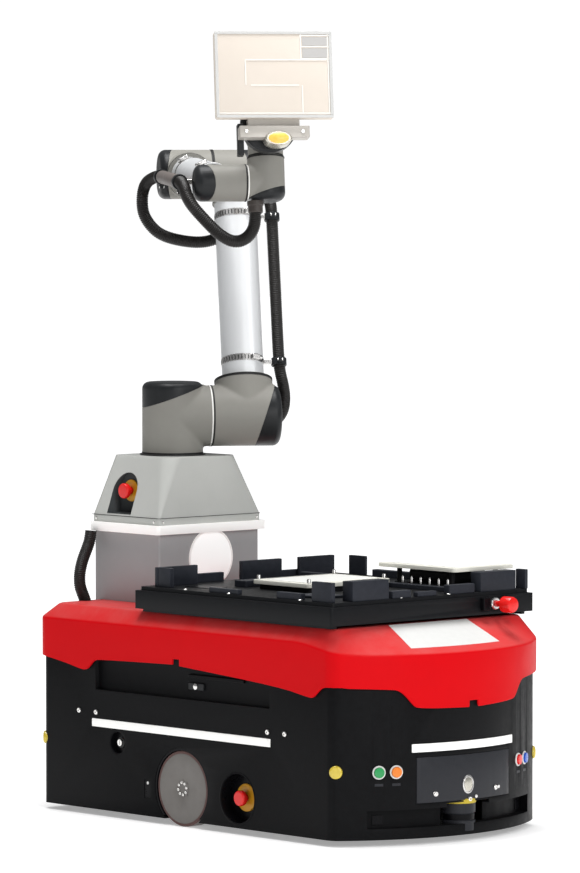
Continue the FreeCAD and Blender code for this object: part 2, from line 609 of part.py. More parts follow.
add_housing("wrist_3", frame(wrist_3, -tool, -wrist_up), SMALL, 60, 47, 41, WRIST_LENGTH - 60.5, 39, 11)

# clamps that hold the conduit on the tubes: a band, a bracket and a collar for each
HOSE_SIDE = 88.0
REAR_SIDE = 84.0
REAR_CLAMP = 506.0
CROSSING = Vector(-0.6, 0, -0.8)     # the conduit crosses behind the tube at a slant
SLACK = 1.0               # a clamp's collar is this much wider than its conduit
clamps = []
for reach, rear in ((132.0, False), (496.0, True)):
    band_ring = ring(UPPER_TUBE + 3, UPPER_TUBE, Vector(0, 0, reach - 8), Z, 16)
    arm = box(UPPER_TUBE + 2, HOSE_SIDE - HOSE - 2, -6, 6, reach - 5, reach + 5)
    collar = ring(HOSE + 4, HOSE + SLACK, Vector(HOSE_SIDE, 0, reach - 9), Z, 18)
    clamp = band_ring.fuse([arm, collar])
    if rear:
        strut = box(-6, 6, UPPER_TUBE + 2, REAR_SIDE - HOSE - 2, reach - 5, REAR_CLAMP + 5)
        grip = Vector(0, REAR_SIDE, REAR_CLAMP)
        clamp = clamp.fuse([strut, ring(HOSE + 4, HOSE + SLACK, grip - CROSSING * 9, CROSSING, 18)])
    clamps.append(placed(clamp, low_arm))
export("upper_clamps", *clamps)

FORE_SIDE = 77.0
clamps = []
for reach in (150.0, 490.0):
    band_ring = ring(FORE_TUBE + 3, FORE_TUBE, Vector(0, 0, reach - 8), Z, 16)
    arm = box(FORE_TUBE + 2, FORE_SIDE - HOSE - 2, -6, 6, reach - 5, reach + 5)
    collar = ring(HOSE + 4, HOSE + SLACK, Vector(FORE_SIDE, 0, reach - 9), Z, 18)
    clamps.append(placed(band_ring.fuse([arm, collar]), fore))
export("fore_clamps", *clamps)

# ---- tool -------------------------------------------------------------------------------
hand = frame(wrist_3, n1, tool)
ring_face = ring(40, 12, Vector(0, 0, 60.5), Z, TOOL_FLANGE - 60.5)
for i in range(4):
    a = math.radians(45 + 90 * i)
    at = Vector(25 * math.cos(a), 25 * math.sin(a), TOOL_FLANGE - 12)
    ring_face = ring_face.cut(rod(3, at, Z, 20))
export("tool_flange", placed(ring_face, hand))
export("sensor_disc", placed(rod(66, Vector(-5, 0, TOOL_FLANGE), Z, 26), hand))
bracket = box(-80, 82, -39, -12, TOOL_FLANGE + 26, TOOL_FLANGE + 62)
bracket = bracket.fuse(box(-60, 60, -12.5, 5, TOOL_FLANGE + 34, TOOL_FLANGE + 56))
export("tool_bracket", placed(bracket, hand))

export("held_panel", placed(box(-133, 138, 5.3, 208, TOOL_FLANGE + 40, TOOL_FLANGE + 66), hand))

# ---- conduits ---------------------------------------------------------------------------
def beside(origin, left, ahead, up):
    """Point given from a joint centre: left of it, towards the tool, and up."""
    return origin - n1 * left - away * ahead + Z * up


at = lambda f, x, y, z: f.multVec(Vector(x, y, z))
upper_line = [at(low_arm, 38.3, BOSS_Y, 3), at(low_arm, 62, BOSS_Y, 3), at(low_arm, 86, 90, 11),
              at(low_arm, 101, 64, 26), at(low_arm, 103, 34, 48), at(low_arm, 98, 10, 76),
              at(low_arm, 89, 0.5, 112), at(low_arm, HOSE_SIDE, 0, 150),
              at(low_arm, HOSE_SIDE, 0.6, 210), at(low_arm, HOSE_SIDE, 0, 300),
              at(low_arm, HOSE_SIDE, 0.6, 400), at(low_arm, HOSE_SIDE, 0, 510),
              at(low_arm, 87.5, 10, 536), at(low_arm, 86, 36, 556), at(low_arm, 77, 68, 568),
              at(low_arm, 48, 86, 561), at(low_arm, 18, REAR_SIDE, 530), at(low_arm, 0, REAR_SIDE, REAR_CLAMP)]
export("upper_conduit", hose("upper_conduit", upper_line, HOSE))
crossed = Vector(0, REAR_SIDE, REAR_CLAMP) + CROSSING * 0.3
elbow_line = [low_arm.multVec(crossed), low_arm.multVec(crossed + CROSSING * 30), at(low_arm, -50, 84, 463),
              at(low_arm, -98, 77, 457), beside(elbow, 54, -8, -150),
              beside(elbow, 88, -1, -122), beside(elbow, 108, 5, -84), beside(elbow, 104, 14, -22),
              at(fore, 78, 0, 70), at(fore, FORE_SIDE, 0.5, 190),
              at(fore, FORE_SIDE, 0, 350), at(fore, FORE_SIDE, 0.5, 499)]
export("elbow_loop", hose("elbow_loop", elbow_line, HOSE))
wrist_line = [at(fore, FORE_SIDE, 0.5, 499.3), at(fore, FORE_SIDE, 0.69, 556), beside(wrist_2, 186, 32, -42),
              beside(wrist_2, 148, 43, -86), beside(wrist_2, 116, 44, -118), beside(wrist_2, 84, 41, -136),
              beside(wrist_2, 54, 34, -131), beside(wrist_2, 33, 24, -108), beside(wrist_2, 27, 16, -76),
              wrist_2 - wrist_up * 43.5 - n1 * 27]
export("wrist_loop", hose("wrist_loop", wrist_line, HOSE))
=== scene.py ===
import math

import bmesh
import bpy
from mathutils import Matrix, Vector


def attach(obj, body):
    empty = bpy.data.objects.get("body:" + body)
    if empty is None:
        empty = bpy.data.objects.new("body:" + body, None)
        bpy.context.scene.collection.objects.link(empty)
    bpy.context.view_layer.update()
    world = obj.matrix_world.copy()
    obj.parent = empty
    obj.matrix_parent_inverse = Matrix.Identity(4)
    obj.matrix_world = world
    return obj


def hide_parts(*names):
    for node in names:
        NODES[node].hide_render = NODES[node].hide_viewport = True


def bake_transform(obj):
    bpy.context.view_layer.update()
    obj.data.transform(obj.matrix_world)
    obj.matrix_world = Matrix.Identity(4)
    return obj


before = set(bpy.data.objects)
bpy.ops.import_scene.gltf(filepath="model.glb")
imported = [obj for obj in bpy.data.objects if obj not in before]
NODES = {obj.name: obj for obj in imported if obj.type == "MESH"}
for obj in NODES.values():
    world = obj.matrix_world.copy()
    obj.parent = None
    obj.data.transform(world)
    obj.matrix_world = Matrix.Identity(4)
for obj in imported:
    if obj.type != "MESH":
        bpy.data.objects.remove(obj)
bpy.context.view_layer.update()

# ---- layout, in millimetres from the middle of the base, as the CAD is set out ----
# the frame's origin, the arm's angles in degrees, and the radii of its housings and conduits
SHIFT = Vector((16.9, 43.0, 0.0))
SWING, LEAN, WRIST_LEAN, DROP = -34.0, 19.0, 12.0, 1.5
BIG, MIDDLE, SMALL, HOSE = 72.5, 59.5, 43.0, 14.0


def mm(x, y=None, z=None):
    """Layout millimetres to metres in the row frame."""
    v = Vector(x) if y is None else Vector((x, y, z))
    return (v - SHIFT) / 1000.0


def leaning(degrees):
    a = math.radians(degrees)
    return Vector((AWAY.x * math.sin(a), AWAY.y * math.sin(a), math.cos(a)))


N1 = Vector((math.cos(math.radians(SWING)), math.sin(math.radians(SWING)), 0))
AWAY = Vector((-N1.y, N1.x, 0))
UP = Vector((0, 0, 1))
ALONG_X, ALONG_Y = Vector((1, 0, 0)), Vector((0, 1, 0))
UP_ARM = leaning(LEAN)
FORWARD = -AWAY * math.cos(math.radians(DROP)) - UP * math.sin(math.radians(DROP))
WRIST_UP = leaning(WRIST_LEAN)
TOOL = -AWAY * math.cos(math.radians(WRIST_LEAN)) + UP * math.sin(math.radians(WRIST_LEAN))
SHOULDER = Vector((0, 448, 920))
UPPER_LOW = SHOULDER + N1 * 173.5
UPPER_HIGH = UPPER_LOW + UP_ARM * 605
ELBOW = UPPER_HIGH - N1 * 116.5
WRIST_1 = ELBOW + FORWARD * 572
WRIST_2 = WRIST_1 + N1 * 115
WRIST_3 = WRIST_2 + WRIST_UP * 115


def axes(origin, x_axis, z_axis):
    """4x4 in metres whose local millimetres are scaled by 0.001."""
    y_axis = z_axis.cross(x_axis)
    o = mm(origin)
    m = Matrix(((x_axis.x, y_axis.x, z_axis.x, 0), (x_axis.y, y_axis.y, z_axis.y, 0),
                (x_axis.z, y_axis.z, z_axis.z, 0), (0, 0, 0, 1)))
    return Matrix.Translation(o) @ m @ Matrix.Scale(0.001, 4)


WORLD = Matrix.Translation(-SHIFT / 1000) @ Matrix.Scale(0.001, 4)


# ---- materials ----
DUST = (0.62, 0.6, 0.56)


def add_node(tree, kind, values=None):
    """New shader node with some of its inputs set."""
    node = tree.nodes.new("ShaderNode" + kind)
    for name, value in (values or {}).items():
        node.inputs[name].default_value = value
    return node


def ranged(tree, value, values):
    """An output mapped from one range of numbers to another."""
    node = add_node(tree, "MapRange", values)
    tree.links.new(value, node.inputs["Value"])
    return node.outputs["Result"]


def mixed(tree, factor, first, second):
    """Mixes two colours; each is a plain colour or another node's output."""
    node = add_node(tree, "Mix")
    node.data_type = "RGBA"
    tree.links.new(factor, node.inputs["Factor"])
    for name, colour in (("A", first), ("B", second)):
        if isinstance(colour, tuple):
            node.inputs[name].default_value = (*colour, 1)
        else:
            tree.links.new(colour, node.inputs[name])
    return node.outputs["Result"]


def material(name, base, rough, other=None, metal=0.0, spots=60.0, mix=0.5, grain=900.0, bump=0.05,
             rough_swing=0.06, coat=0.0, emit=0.0, dust=0.0, stretch=(1, 1, 1), wear=0.0, spec=0.3):
    """Paint, plastic or metal with broad spots, a fine grain and, where asked for, dust and wear."""
    m = bpy.data.materials.new(name)
    m.use_nodes = True
    tree = m.node_tree
    links = tree.links
    shader = tree.nodes["Principled BSDF"]
    for socket, value in (("Metallic", metal), ("Coat Weight", coat), ("Coat Roughness", 0.15),
                          ("Specular IOR Level", spec)):
        shader.inputs[socket].default_value = value
    place = add_node(tree, "TexCoord")
    scale = add_node(tree, "Mapping", {"Scale": stretch})
    broad = add_node(tree, "TexNoise", {"Scale": spots, "Detail": 6.0, "Roughness": 0.65})
    fine = add_node(tree, "TexNoise", {"Scale": grain, "Detail": 3.0})
    links.new(place.outputs["Object"], scale.inputs["Vector"])
    links.new(scale.outputs["Vector"], broad.inputs["Vector"])
    links.new(scale.outputs["Vector"], fine.inputs["Vector"])
    spread = ranged(tree, broad.outputs["Fac"], {"From Min": 0.35, "From Max": 0.7, "To Max": mix})
    colour = mixed(tree, spread, base, other or tuple(c * 0.82 for c in base))
    if dust:
        normal = add_node(tree, "NewGeometry")
        split = add_node(tree, "SeparateXYZ")
        links.new(normal.outputs["Normal"], split.inputs["Vector"])
        thin = add_node(tree, "Math")
        thin.operation = "MULTIPLY"
        links.new(ranged(tree, split.outputs["Z"], {"From Min": 0.3, "To Max": dust}), thin.inputs[0])
        links.new(broad.outputs["Fac"], thin.inputs[1])
        colour = mixed(tree, thin.outputs["Value"], colour, DUST)
    if wear:
        geometry = add_node(tree, "NewGeometry")
        edge = ranged(tree, geometry.outputs["Pointiness"],
                      {"From Min": 0.52, "From Max": 0.6, "To Max": wear})
        colour = mixed(tree, edge, colour, tuple(min(1, c * 1.5 + 0.1) for c in base))
    links.new(colour, shader.inputs["Base Color"])
    dull = ranged(tree, broad.outputs["Fac"], {"From Min": 0.3, "From Max": 0.7,
                                               "To Min": max(0.02, rough - rough_swing),
                                               "To Max": min(1, rough + rough_swing)})
    links.new(dull, shader.inputs["Roughness"])
    if bump:
        lift = add_node(tree, "Bump", {"Strength": bump, "Distance": 0.001})
        links.new(fine.outputs["Fac"], lift.inputs["Height"])
        links.new(lift.outputs["Normal"], shader.inputs["Normal"])
    if emit:
        links.new(colour, shader.inputs["Emission Color"])
        shader.inputs["Emission Strength"].default_value = emit
    return m


M = {
    "shell": material("shell_black", (0.005, 0.005, 0.0055), 0.42, (0.008, 0.0085, 0.0095), bump=0.12,
        grain=1400, dust=0.01, spec=0.05),
    "shell_front": material("shell_panel", (0.02, 0.021, 0.025), 0.4, (0.026, 0.027, 0.032), bump=0.1,
        grain=1400, spec=0.16),
    "red": material("hood_red", (0.58, 0.003, 0.006), 0.36, (0.53, 0.003, 0.006), spots=14, bump=0.03,
        grain=500, dust=0.2, spec=0.04),
    "badge": material("badge_white", (0.66, 0.66, 0.645), 0.35, bump=0.03, mix=0.2),
    "strip": material("strip_white", (0.84, 0.84, 0.82), 0.35, (0.78, 0.78, 0.76), bump=0.02, emit=0.22),
    # the light band's white glows as a lamp; on the pedestal disc's rim the same glow is painted light
    "band": material("band_white", (0.93, 0.92, 0.9), 0.35, (0.88, 0.86, 0.85), bump=0.02, emit=0.12),
    "tray": material("tray_anodised", (0.0055, 0.006, 0.007), 0.42, (0.009, 0.0095, 0.011), bump=0.1,
        grain=1600, dust=0.01, spec=0.1),
    "guide": material("guide_plastic", (0.018, 0.02, 0.026), 0.45, (0.03, 0.033, 0.043), bump=0.1,
        dust=0.03, spec=0.12),
    "support": material("support_black", (0.008, 0.008, 0.009), 0.5, bump=0.1, spec=0.1),
    "cream": material("carrier_cream", (0.72, 0.71, 0.64), 0.45, (0.66, 0.65, 0.58), spots=30),
    "pedestal": material("pedestal_grey", (0.345, 0.345, 0.35), 0.5, (0.32, 0.315, 0.315), spots=12,
        bump=0.06, grain=1200),
    "cover": material("cover_grey", (0.44, 0.445, 0.425), 0.45, (0.4, 0.405, 0.385), spots=10, grain=1200,
        wear=0.1),
    "plate": material("plate_silver", (0.86, 0.86, 0.83), 0.35, (0.8, 0.8, 0.77), spots=35, bump=0.03),
    # painted light: the pedestal disc is given a glow, though it is no lamp, to make it look brighter
    "disc": material("disc_white_painted_glow", (0.86, 0.86, 0.85), 0.4, mix=0.2, bump=0.02, emit=0.42),
    "arm": material("arm_paint", (0.215, 0.21, 0.19), 0.5, (0.195, 0.188, 0.172), spots=18, bump=0.1,
        grain=1500, wear=0.08, spec=0.15),
    "lid": material("lid_black", (0.012, 0.013, 0.014), 0.38, (0.02, 0.021, 0.023), spots=40, bump=0.12,
        grain=1500, spec=0.18),
    "tube": material("tube_silver", (0.66, 0.67, 0.68), 0.34, (0.6, 0.61, 0.62), metal=0.35, spots=26,
        grain=700, bump=0.03, rough_swing=0.05, stretch=(1, 1, 0.05)),
    "seal": material("seal_black", (0.01, 0.01, 0.01), 0.55),
    "ringlight": material("ring_pale", (0.8, 0.79, 0.76), 0.35, bump=0.02, mix=0.2),
    "hose": material("conduit_black", (0.012, 0.011, 0.0105), 0.42, (0.02, 0.018, 0.017), spots=90,
        bump=0.1, grain=800, spec=0.2),
    "gland": material("gland_brown", (0.05, 0.042, 0.038), 0.5, (0.035, 0.03, 0.027), bump=0.12),
    "steel": material("steel_satin", (0.62, 0.61, 0.6), 0.28, (0.5, 0.49, 0.48), metal=1.0, spots=200,
        grain=1200),
    "bolt": material("bolt_zinc", (0.75, 0.74, 0.72), 0.25, (0.6, 0.59, 0.58), metal=1.0, spots=300),
    "wheel": material("wheel_grey", (0.165, 0.155, 0.145), 0.5, (0.14, 0.13, 0.12), spots=40, bump=0.1,
        dust=0.1),
    "tyre": material("tyre_grey", (0.11, 0.06, 0.055), 0.7, bump=0.3, grain=500),
    "rubber": material("caster_rubber", (0.02, 0.02, 0.02), 0.7, bump=0.3, grain=500),
    "stopred": material("stop_red", (0.7, 0.012, 0.01), 0.22, (0.6, 0.008, 0.008), spots=50, coat=0.15,
        bump=0.02),
    "yellow": material("collar_yellow", (0.62, 0.3, 0.015), 0.35, (0.52, 0.24, 0.01), bump=0.04),
    "green": material("button_green", (0.02, 0.28, 0.08), 0.25, coat=0.15, bump=0.02, mix=0.3),
    "orange": material("button_orange", (0.75, 0.2, 0.02), 0.25, coat=0.15, bump=0.02, mix=0.3),
    "blue": material("button_blue", (0.015, 0.09, 0.5), 0.25, coat=0.15, bump=0.02, mix=0.3),
    "amber": material("lamp_amber", (0.62, 0.47, 0.05), 0.2, (0.5, 0.38, 0.03), coat=0.6, bump=0.02,
        spots=120),
    "scanner": material("scanner_yellow", (0.5, 0.38, 0.03), 0.4, (0.42, 0.31, 0.02), bump=0.08),
    "dark": material("dark_plastic", (0.004, 0.004, 0.005), 0.3, spec=0.08),
    # painted shade: near-black colour for the sheet lining the pedestal hood's niche, standing in for its
    # shadow
    "niche": material("niche_painted_shade", (0.045, 0.05, 0.052), 0.5, spec=0.15),
    "battery": material("battery_case", (0.03, 0.03, 0.034), 0.5, bump=0.1),
    "motor": material("motor_case", (0.1, 0.1, 0.105), 0.4, metal=0.6, bump=0.1),
    "foot": material("foot_dark", (0.05, 0.05, 0.05), 0.5, metal=0.4, bump=0.1),
    "bracket": material("bracket_grey", (0.42, 0.395, 0.36), 0.4, (0.36, 0.34, 0.31), metal=0.15, spots=25,
        bump=0.08),
    "panel": material("panel_ivory", (0.6, 0.54, 0.475), 0.5, (0.565, 0.505, 0.445), spots=12, bump=0.04),
    "panel_white": material("panel_white", (0.72, 0.69, 0.65), 0.45, bump=0.03, mix=0.2),
    "sleeve": material("sleeve_brown", (0.115, 0.098, 0.09), 0.5, (0.09, 0.078, 0.072), bump=0.15,
        grain=700),
    "panel_edge": material("panel_edge", (0.5, 0.5, 0.49), 0.45, bump=0.03, mix=0.3),
    "panel_line": material("panel_line", (0.42, 0.41, 0.4), 0.5, bump=0.03, mix=0.2),
    "glow": material("lens_amber", (0.95, 0.42, 0.07), 0.3, (0.95, 0.55, 0.14), spots=80, bump=0.02,
        emit=0.15),
    "lens": material("lens_grey", (0.5, 0.48, 0.42), 0.25, metal=0.7, bump=0.03),
    "floor": material("floor_pale", (0.93, 0.93, 0.93), 0.6, (0.92, 0.92, 0.92), spots=3, bump=0.0,
        emit=0.75),
}


# ---- mesh helpers ----
def finish_object(obj, mat, body="base", node=None, bevel=0.0, segments=2, angle=35.0, sharp=35.0):
    """Gives an object its material and edges, and says what it rides on and what it stands for."""
    obj.data.materials.append(M[mat])
    for p in obj.data.polygons:
        p.use_smooth = True
    obj.data.set_sharp_from_angle(angle=math.radians(sharp))
    if bevel:
        b = obj.modifiers.new("edge", "BEVEL")
        b.width = bevel / 1000
        b.segments = segments
        b.limit_method = "ANGLE"
        b.angle_limit = math.radians(angle)
        b.harden_normals = True
    if body:
        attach(obj, body)
    if node:
        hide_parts(*([node] if isinstance(node, str) else node))
    return obj


def linked(name, data):
    """New object in the scene."""
    obj = bpy.data.objects.new(name, data)
    bpy.context.scene.collection.objects.link(obj)
    return obj


def mesh_object(name, bm):
    me = bpy.data.meshes.new(name)
    bmesh.ops.recalc_face_normals(bm, faces=bm.faces)
    bm.to_mesh(me)
    bm.free()
    return linked(name, me)


def lathe_bm(profile, place, steps=96, closed=True):
    """Turns (radius, height) pairs about local Z."""
    bm = bmesh.new()
    rings = []
    for r, z in profile:
        if r < 1e-6:
            rings.append([bm.verts.new(place @ Vector((0, 0, z)))])
        else:
            rings.append([bm.verts.new(place @ Vector((r * math.cos(2 * math.pi * i / steps),
                                                       r * math.sin(2 * math.pi * i / steps), z)))
                          for i in range(steps)])
    pairs = list(zip(rings, rings[1:]))
    if closed:
        pairs.append((rings[-1], rings[0]))
    for a, b in pairs:
        if len(a) == 1 and len(b) == 1:
            continue
        for i in range(steps):
            j = (i + 1) % steps
            if len(a) == 1:
                bm.faces.new((a[0], b[j], b[i]))
            elif len(b) == 1:
                bm.faces.new((a[i], a[j], b[0]))
            else:
                bm.faces.new((a[i], a[j], b[j], b[i]))
    return bm


def bridge(bm, a, b):
    """Faces between two rings that have the same number of points."""
    for i in range(len(a)):
        k = (i + 1) % len(a)
        bm.faces.new((a[i], a[k], b[k], b[i]))


def rounded(r0, z0, r1, z1, radius, steps=6):
    """Profile corner points turning from vertical at (r1, z0) to horizontal at (r0, z1)."""
    out = [(r1, z0)]
    sign = 1 if z1 > z0 else -1
    for i in range(steps + 1):
        a = math.pi / 2 * i / steps
        out.append((r1 - radius + radius * math.cos(a), z1 - sign * radius + sign * radius * math.sin(a)))
    out.append((r0, z1))
    return out


def shifted(place, x, y, z):
    return place @ Matrix.Translation((x, y, z))


def turned(place, degrees, axis):
    return place @ Matrix.Rotation(math.radians(degrees), 4, axis)


def along_x(place):
    """The frame turned so that its local Z runs along its X."""
    return turned(place, 90, "Y")


def lathe(name, profile, place, mat, body="base", node=None, steps=96, bevel=0.0, closed=True):
    obj = mesh_object(name, lathe_bm(profile, place, steps, closed))
    return finish_object(obj, mat, body, node, bevel)


def box_bm(bm, place, x0, x1, y0, y1, z0, z1):
    v = [bm.verts.new(place @ Vector((x, y, z))) for x in (x0, x1) for y in (y0, y1) for z in (z0, z1)]
    for f in ((0, 1, 3, 2), (4, 6, 7, 5), (0, 4, 5, 1), (2, 3, 7, 6), (0, 2, 6, 4), (1, 5, 7, 3)):
        bm.faces.new([v[i] for i in f])


def boxes(name, sizes, place, mat, body="base", node=None, bevel=1.0, segments=3):
    """One object made of boxes, each given as x0, x1, y0, y1, z0, z1."""
    bm = bmesh.new()
    for s in sizes:
        box_bm(bm, place, *s)
    return finish_object(mesh_object(name, bm), mat, body, node, bevel, segments)


def socket_screw(name, place, size, body="base", foot=0.0, steps=32):
    """Screw head with a round socket; size gives the head's, its top's and the socket's measures."""
    radius, shoulder, crown, top, bore, floor = size
    lathe(name, [(0, foot), (radius, foot), (radius, shoulder), (crown, top), (bore, top), (bore, floor),
                 (0, floor)], place, "bolt", body, steps=steps)


def stud(name, place, mat, size, body="base", foot=0.0, steps=24):
    """Round stud with a chamfered end; size is its radius and shoulder, then its end's."""
    radius, shoulder, crown, top = size
    lathe(name, [(0, foot), (radius, foot), (radius, shoulder), (crown, top), (0, top)], place, mat, body,
          steps=steps)


def whole(bm):
    return list(bm.verts) + list(bm.edges) + list(bm.faces)


def cut(bm, place, point, normal):
    """Cuts away what lies beyond a local plane and closes the hole."""
    co = place @ Vector(point)
    no = (place.to_3x3() @ Vector(normal)).normalized()
    res = bmesh.ops.bisect_plane(bm, geom=whole(bm), plane_co=co, plane_no=no, clear_outer=True, dist=1e-7)
    rim = [e for e in res["geom_cut"] if isinstance(e, bmesh.types.BMEdge)]
    bmesh.ops.contextual_create(bm, geom=rim)


def evaluated(obj):
    """The object's mesh with its modifiers applied."""
    graph = bpy.context.evaluated_depsgraph_get()
    return bpy.data.meshes.new_from_object(obj.evaluated_get(graph))


# ---- camera, light and floor ----
def aimed(name, data, where, looks):
    """A camera or lamp that looks along a direction."""
    obj = linked(name, data)
    obj.location = where
    obj.rotation_mode = "QUATERNION"
    obj.rotation_quaternion = looks.to_track_quat("-Z", "Y")
    return obj


def lay_floor():
    """Pale floor that glows more the further it is from the part, so that it fades out."""
    bm = bmesh.new()
    bmesh.ops.create_grid(bm, x_segments=1, y_segments=1, size=30)
    floor = finish_object(mesh_object("floor", bm), "floor", None)
    floor.location = (0, 0, -0.0005)
    tree = M["floor"].node_tree
    away = add_node(tree, "VectorMath")
    away.operation = "LENGTH"
    tree.links.new(tree.nodes["Texture Coordinate"].outputs["Object"], away.inputs[0])
    glow = ranged(tree, away.outputs["Value"],
                  {"From Min": 1.3, "From Max": 3.2, "To Min": 0.36, "To Max": 1.0})
    tree.links.new(glow, tree.nodes["Principled BSDF"].inputs["Emission Strength"])


def light_world():
    """Soft sky light on the part, and a white backdrop for the camera alone."""
    world = bpy.data.worlds.new("studio")
    world.use_nodes = True
    tree = world.node_tree
    soft = tree.nodes["Background"]
    soft.inputs["Color"].default_value = (0.97, 0.985, 1, 1)
    soft.inputs["Strength"].default_value = 0.24
    backdrop = add_node(tree, "Background", {"Color": (1, 1, 1, 1), "Strength": 1.02})
    choose = add_node(tree, "MixShader")
    tree.links.new(add_node(tree, "LightPath").outputs["Is Camera Ray"], choose.inputs["Fac"])
    tree.links.new(soft.outputs["Background"], choose.inputs[1])
    tree.links.new(backdrop.outputs["Background"], choose.inputs[2])
    tree.links.new(choose.outputs["Shader"], tree.nodes["World Output"].inputs["Surface"])
    bpy.context.scene.world = world


def stage():
    turn, rise = math.radians(-42.322), math.radians(3.128)
    back = Vector((math.sin(turn) * math.cos(rise), -math.cos(turn) * math.cos(rise), math.sin(rise)))
    right = Vector((math.cos(turn), math.sin(turn), 0))
    camera = bpy.data.cameras.new("camera")
    camera.lens = 235.05
    camera.sensor_width = 36.0
    camera.clip_end = 100
    bpy.context.scene.camera = aimed("camera", camera, mm(-8909, -9750, 1611), -back)
    lay_floor()
    light_world()
    for name, where, size, power in (("key", back * 4.6 + right * 2.2 + UP * 2.2, 2.6, 116),
                                     ("side", right * 4.0 + back * 1.6 + UP * 3.2, 2.2, 30),
                                     ("top", UP * 4.6 - right * 0.2, 2.4, 230)):
        light = bpy.data.lights.new(name, "AREA")
        light.size = size
        light.energy = power
        aimed(name, light, where, Vector((0, 0, 0.9)) - where)
    bpy.context.scene.view_settings.view_transform = "Standard"


stage()

# ---- hoses ----
def beside(origin, left, ahead, up):
    return origin - N1 * left - AWAY * ahead + UP * up


def local(origin, x_axis, z_axis, x, y, z):
    return origin + x_axis * x + z_axis.cross(x_axis) * y + z_axis * z


def low_arm(x, y, z):
    return local(UPPER_LOW, N1, UP_ARM, x, y, z)


def fore(x, y, z):
    return local(ELBOW, -N1, FORWARD, x, y, z)


SIDE, REAR, FORE_SIDE = 88.0, 84.0, 77.0
BOSS = 95
LOW_CLAMP, HIGH_CLAMP, REAR_CLAMP, FRONT_CLAMP = 132, 496, 150, 490
CROSSING = (0, REAR, 506)
CROSSED = low_arm(*CROSSING)
SLANT = -N1 * 0.6 - UP_ARM * 0.8
HOSES = {
    "pedestal_conduit": [Vector(p) for p in (
        (-184, 532, 651), (-187, 531.6, 630), (-198, 531, 608), (-213, 530.4, 580), (-222, 529.8, 549),
        (-221, 529.2, 519), (-208, 528.6, 494), (-199, 528, 470))],
    "upper_conduit": [low_arm(*p) for p in (
        (38.3, BOSS, 3), (62, BOSS, 3), (86, 90, 11), (101, 64, 26), (103, 34, 48), (98, 10, 76),
        (89, 0.5, 112), (SIDE, 0, 150), (SIDE, 0.6, 210), (SIDE, 0, 300), (SIDE, 0.6, 400), (SIDE, 0, 510),
        (87.5, 10, 536), (86, 36, 556), (77, 68, 568), (48, 86, 561), (18, REAR, 530), CROSSING)],
    "elbow_loop": [
        CROSSED, CROSSED + SLANT * 30, low_arm(-50, 84, 463), low_arm(-98, 77, 457),
        beside(ELBOW, 54, -8, -150), beside(ELBOW, 88, -1, -122), beside(ELBOW, 108, 5, -84),
        beside(ELBOW, 104, 14, -22), fore(78, 0, 70), fore(FORE_SIDE, 0.5, 190), fore(FORE_SIDE, 0, 350),
        fore(FORE_SIDE, 0.5, 499)],
    "wrist_loop": [fore(FORE_SIDE, 0.5, 499.3), fore(FORE_SIDE, 0.69, 556)] + [beside(WRIST_2, *p) for p in (
        (186, 32, -42), (148, 43, -86), (116, 44, -118), (84, 41, -136), (54, 34, -131), (33, 24, -108),
        (27, 16, -76))] + [WRIST_2 - WRIST_UP * (SMALL + 0.5) - N1 * 27],
}


def spline_points(points):
    """Points read off the smooth line through a hose's control points, in metres."""
    curve = bpy.data.curves.new("line", "CURVE")
    curve.dimensions = "3D"
    curve.resolution_u = 24
    s = curve.splines.new("NURBS")
    s.points.add(len(points) - 1)
    for p, q in zip(s.points, points):
        p.co = (*mm(q), 1)
    s.order_u = 3
    s.use_endpoint_u = True
    obj = linked("line", curve)
    bpy.context.view_layer.update()
    me = bpy.data.meshes.new_from_object(obj)
    out = [v.co.copy() for v in me.vertices]
    bpy.data.objects.remove(obj)
    return out


def even(points, step):
    """The same line with points a fixed step apart."""
    out = [points[0]]
    left = step
    for a, b in zip(points, points[1:]):
        d = (b - a).length
        while d >= left:
            a = a + (b - a).normalized() * left
            d = (b - a).length
            out.append(a)
            left = step
        left -= d
    return out


def ribbed(name, points, radius=HOSE + 0.5, pitch=4.6, depth=1.5, steps=28):
    """Corrugated tube along a smooth line, four rings of points to a rib."""
    line = even(spline_points(points), pitch / 4000)
    bm = bmesh.new()
    rings = []
    side = None
    for i, p in enumerate(line):
        a, b = line[max(i - 1, 0)], line[min(i + 1, len(line) - 1)]
        t = (b - a).normalized()
        side = (side - t * side.dot(t)).normalized() if side else t.orthogonal().normalized()
        other = t.cross(side)
        r = (radius - (0.0, depth * 0.5, depth, depth * 0.5)[i % 4]) / 1000
        rings.append([bm.verts.new(p + (side * math.cos(k) + other * math.sin(k)) * r)
                      for k in [2 * math.pi * j / steps for j in range(steps)]])
    for a, b in zip(rings, rings[1:]):
        bridge(bm, a, b)
    bm.faces.new(rings[0][::-1])
    bm.faces.new(rings[-1])
    return mesh_object(name, bm)


def build_hose(node, body=None):
    obj = ribbed(node + "_ribbed", HOSES[node])
    return finish_object(obj, "hose", body, node, sharp=60)


def build_hoses():
    build_hose("pedestal_conduit", "base")
    build_hose("upper_conduit", "upper_arm")
    obj = build_hose("elbow_loop")
    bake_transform(obj)
    obj = build_hose("wrist_loop")
    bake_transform(obj)


build_hoses()

# ---- arm castings ----
def cylinder_bm(radius, z0, z1, place, steps=96):
    return lathe_bm([(0, z0), (radius, z0), (radius, z1), (0, z1)], place, steps)


def joined(parts):
    """One mesh holding all the given ones, which are used up."""
    bm = bmesh.new()
    for part in parts:
        me = bpy.data.meshes.new("part")
        part.to_mesh(me)
        part.free()
        bm.from_mesh(me)
        bpy.data.meshes.remove(me)
    return bm


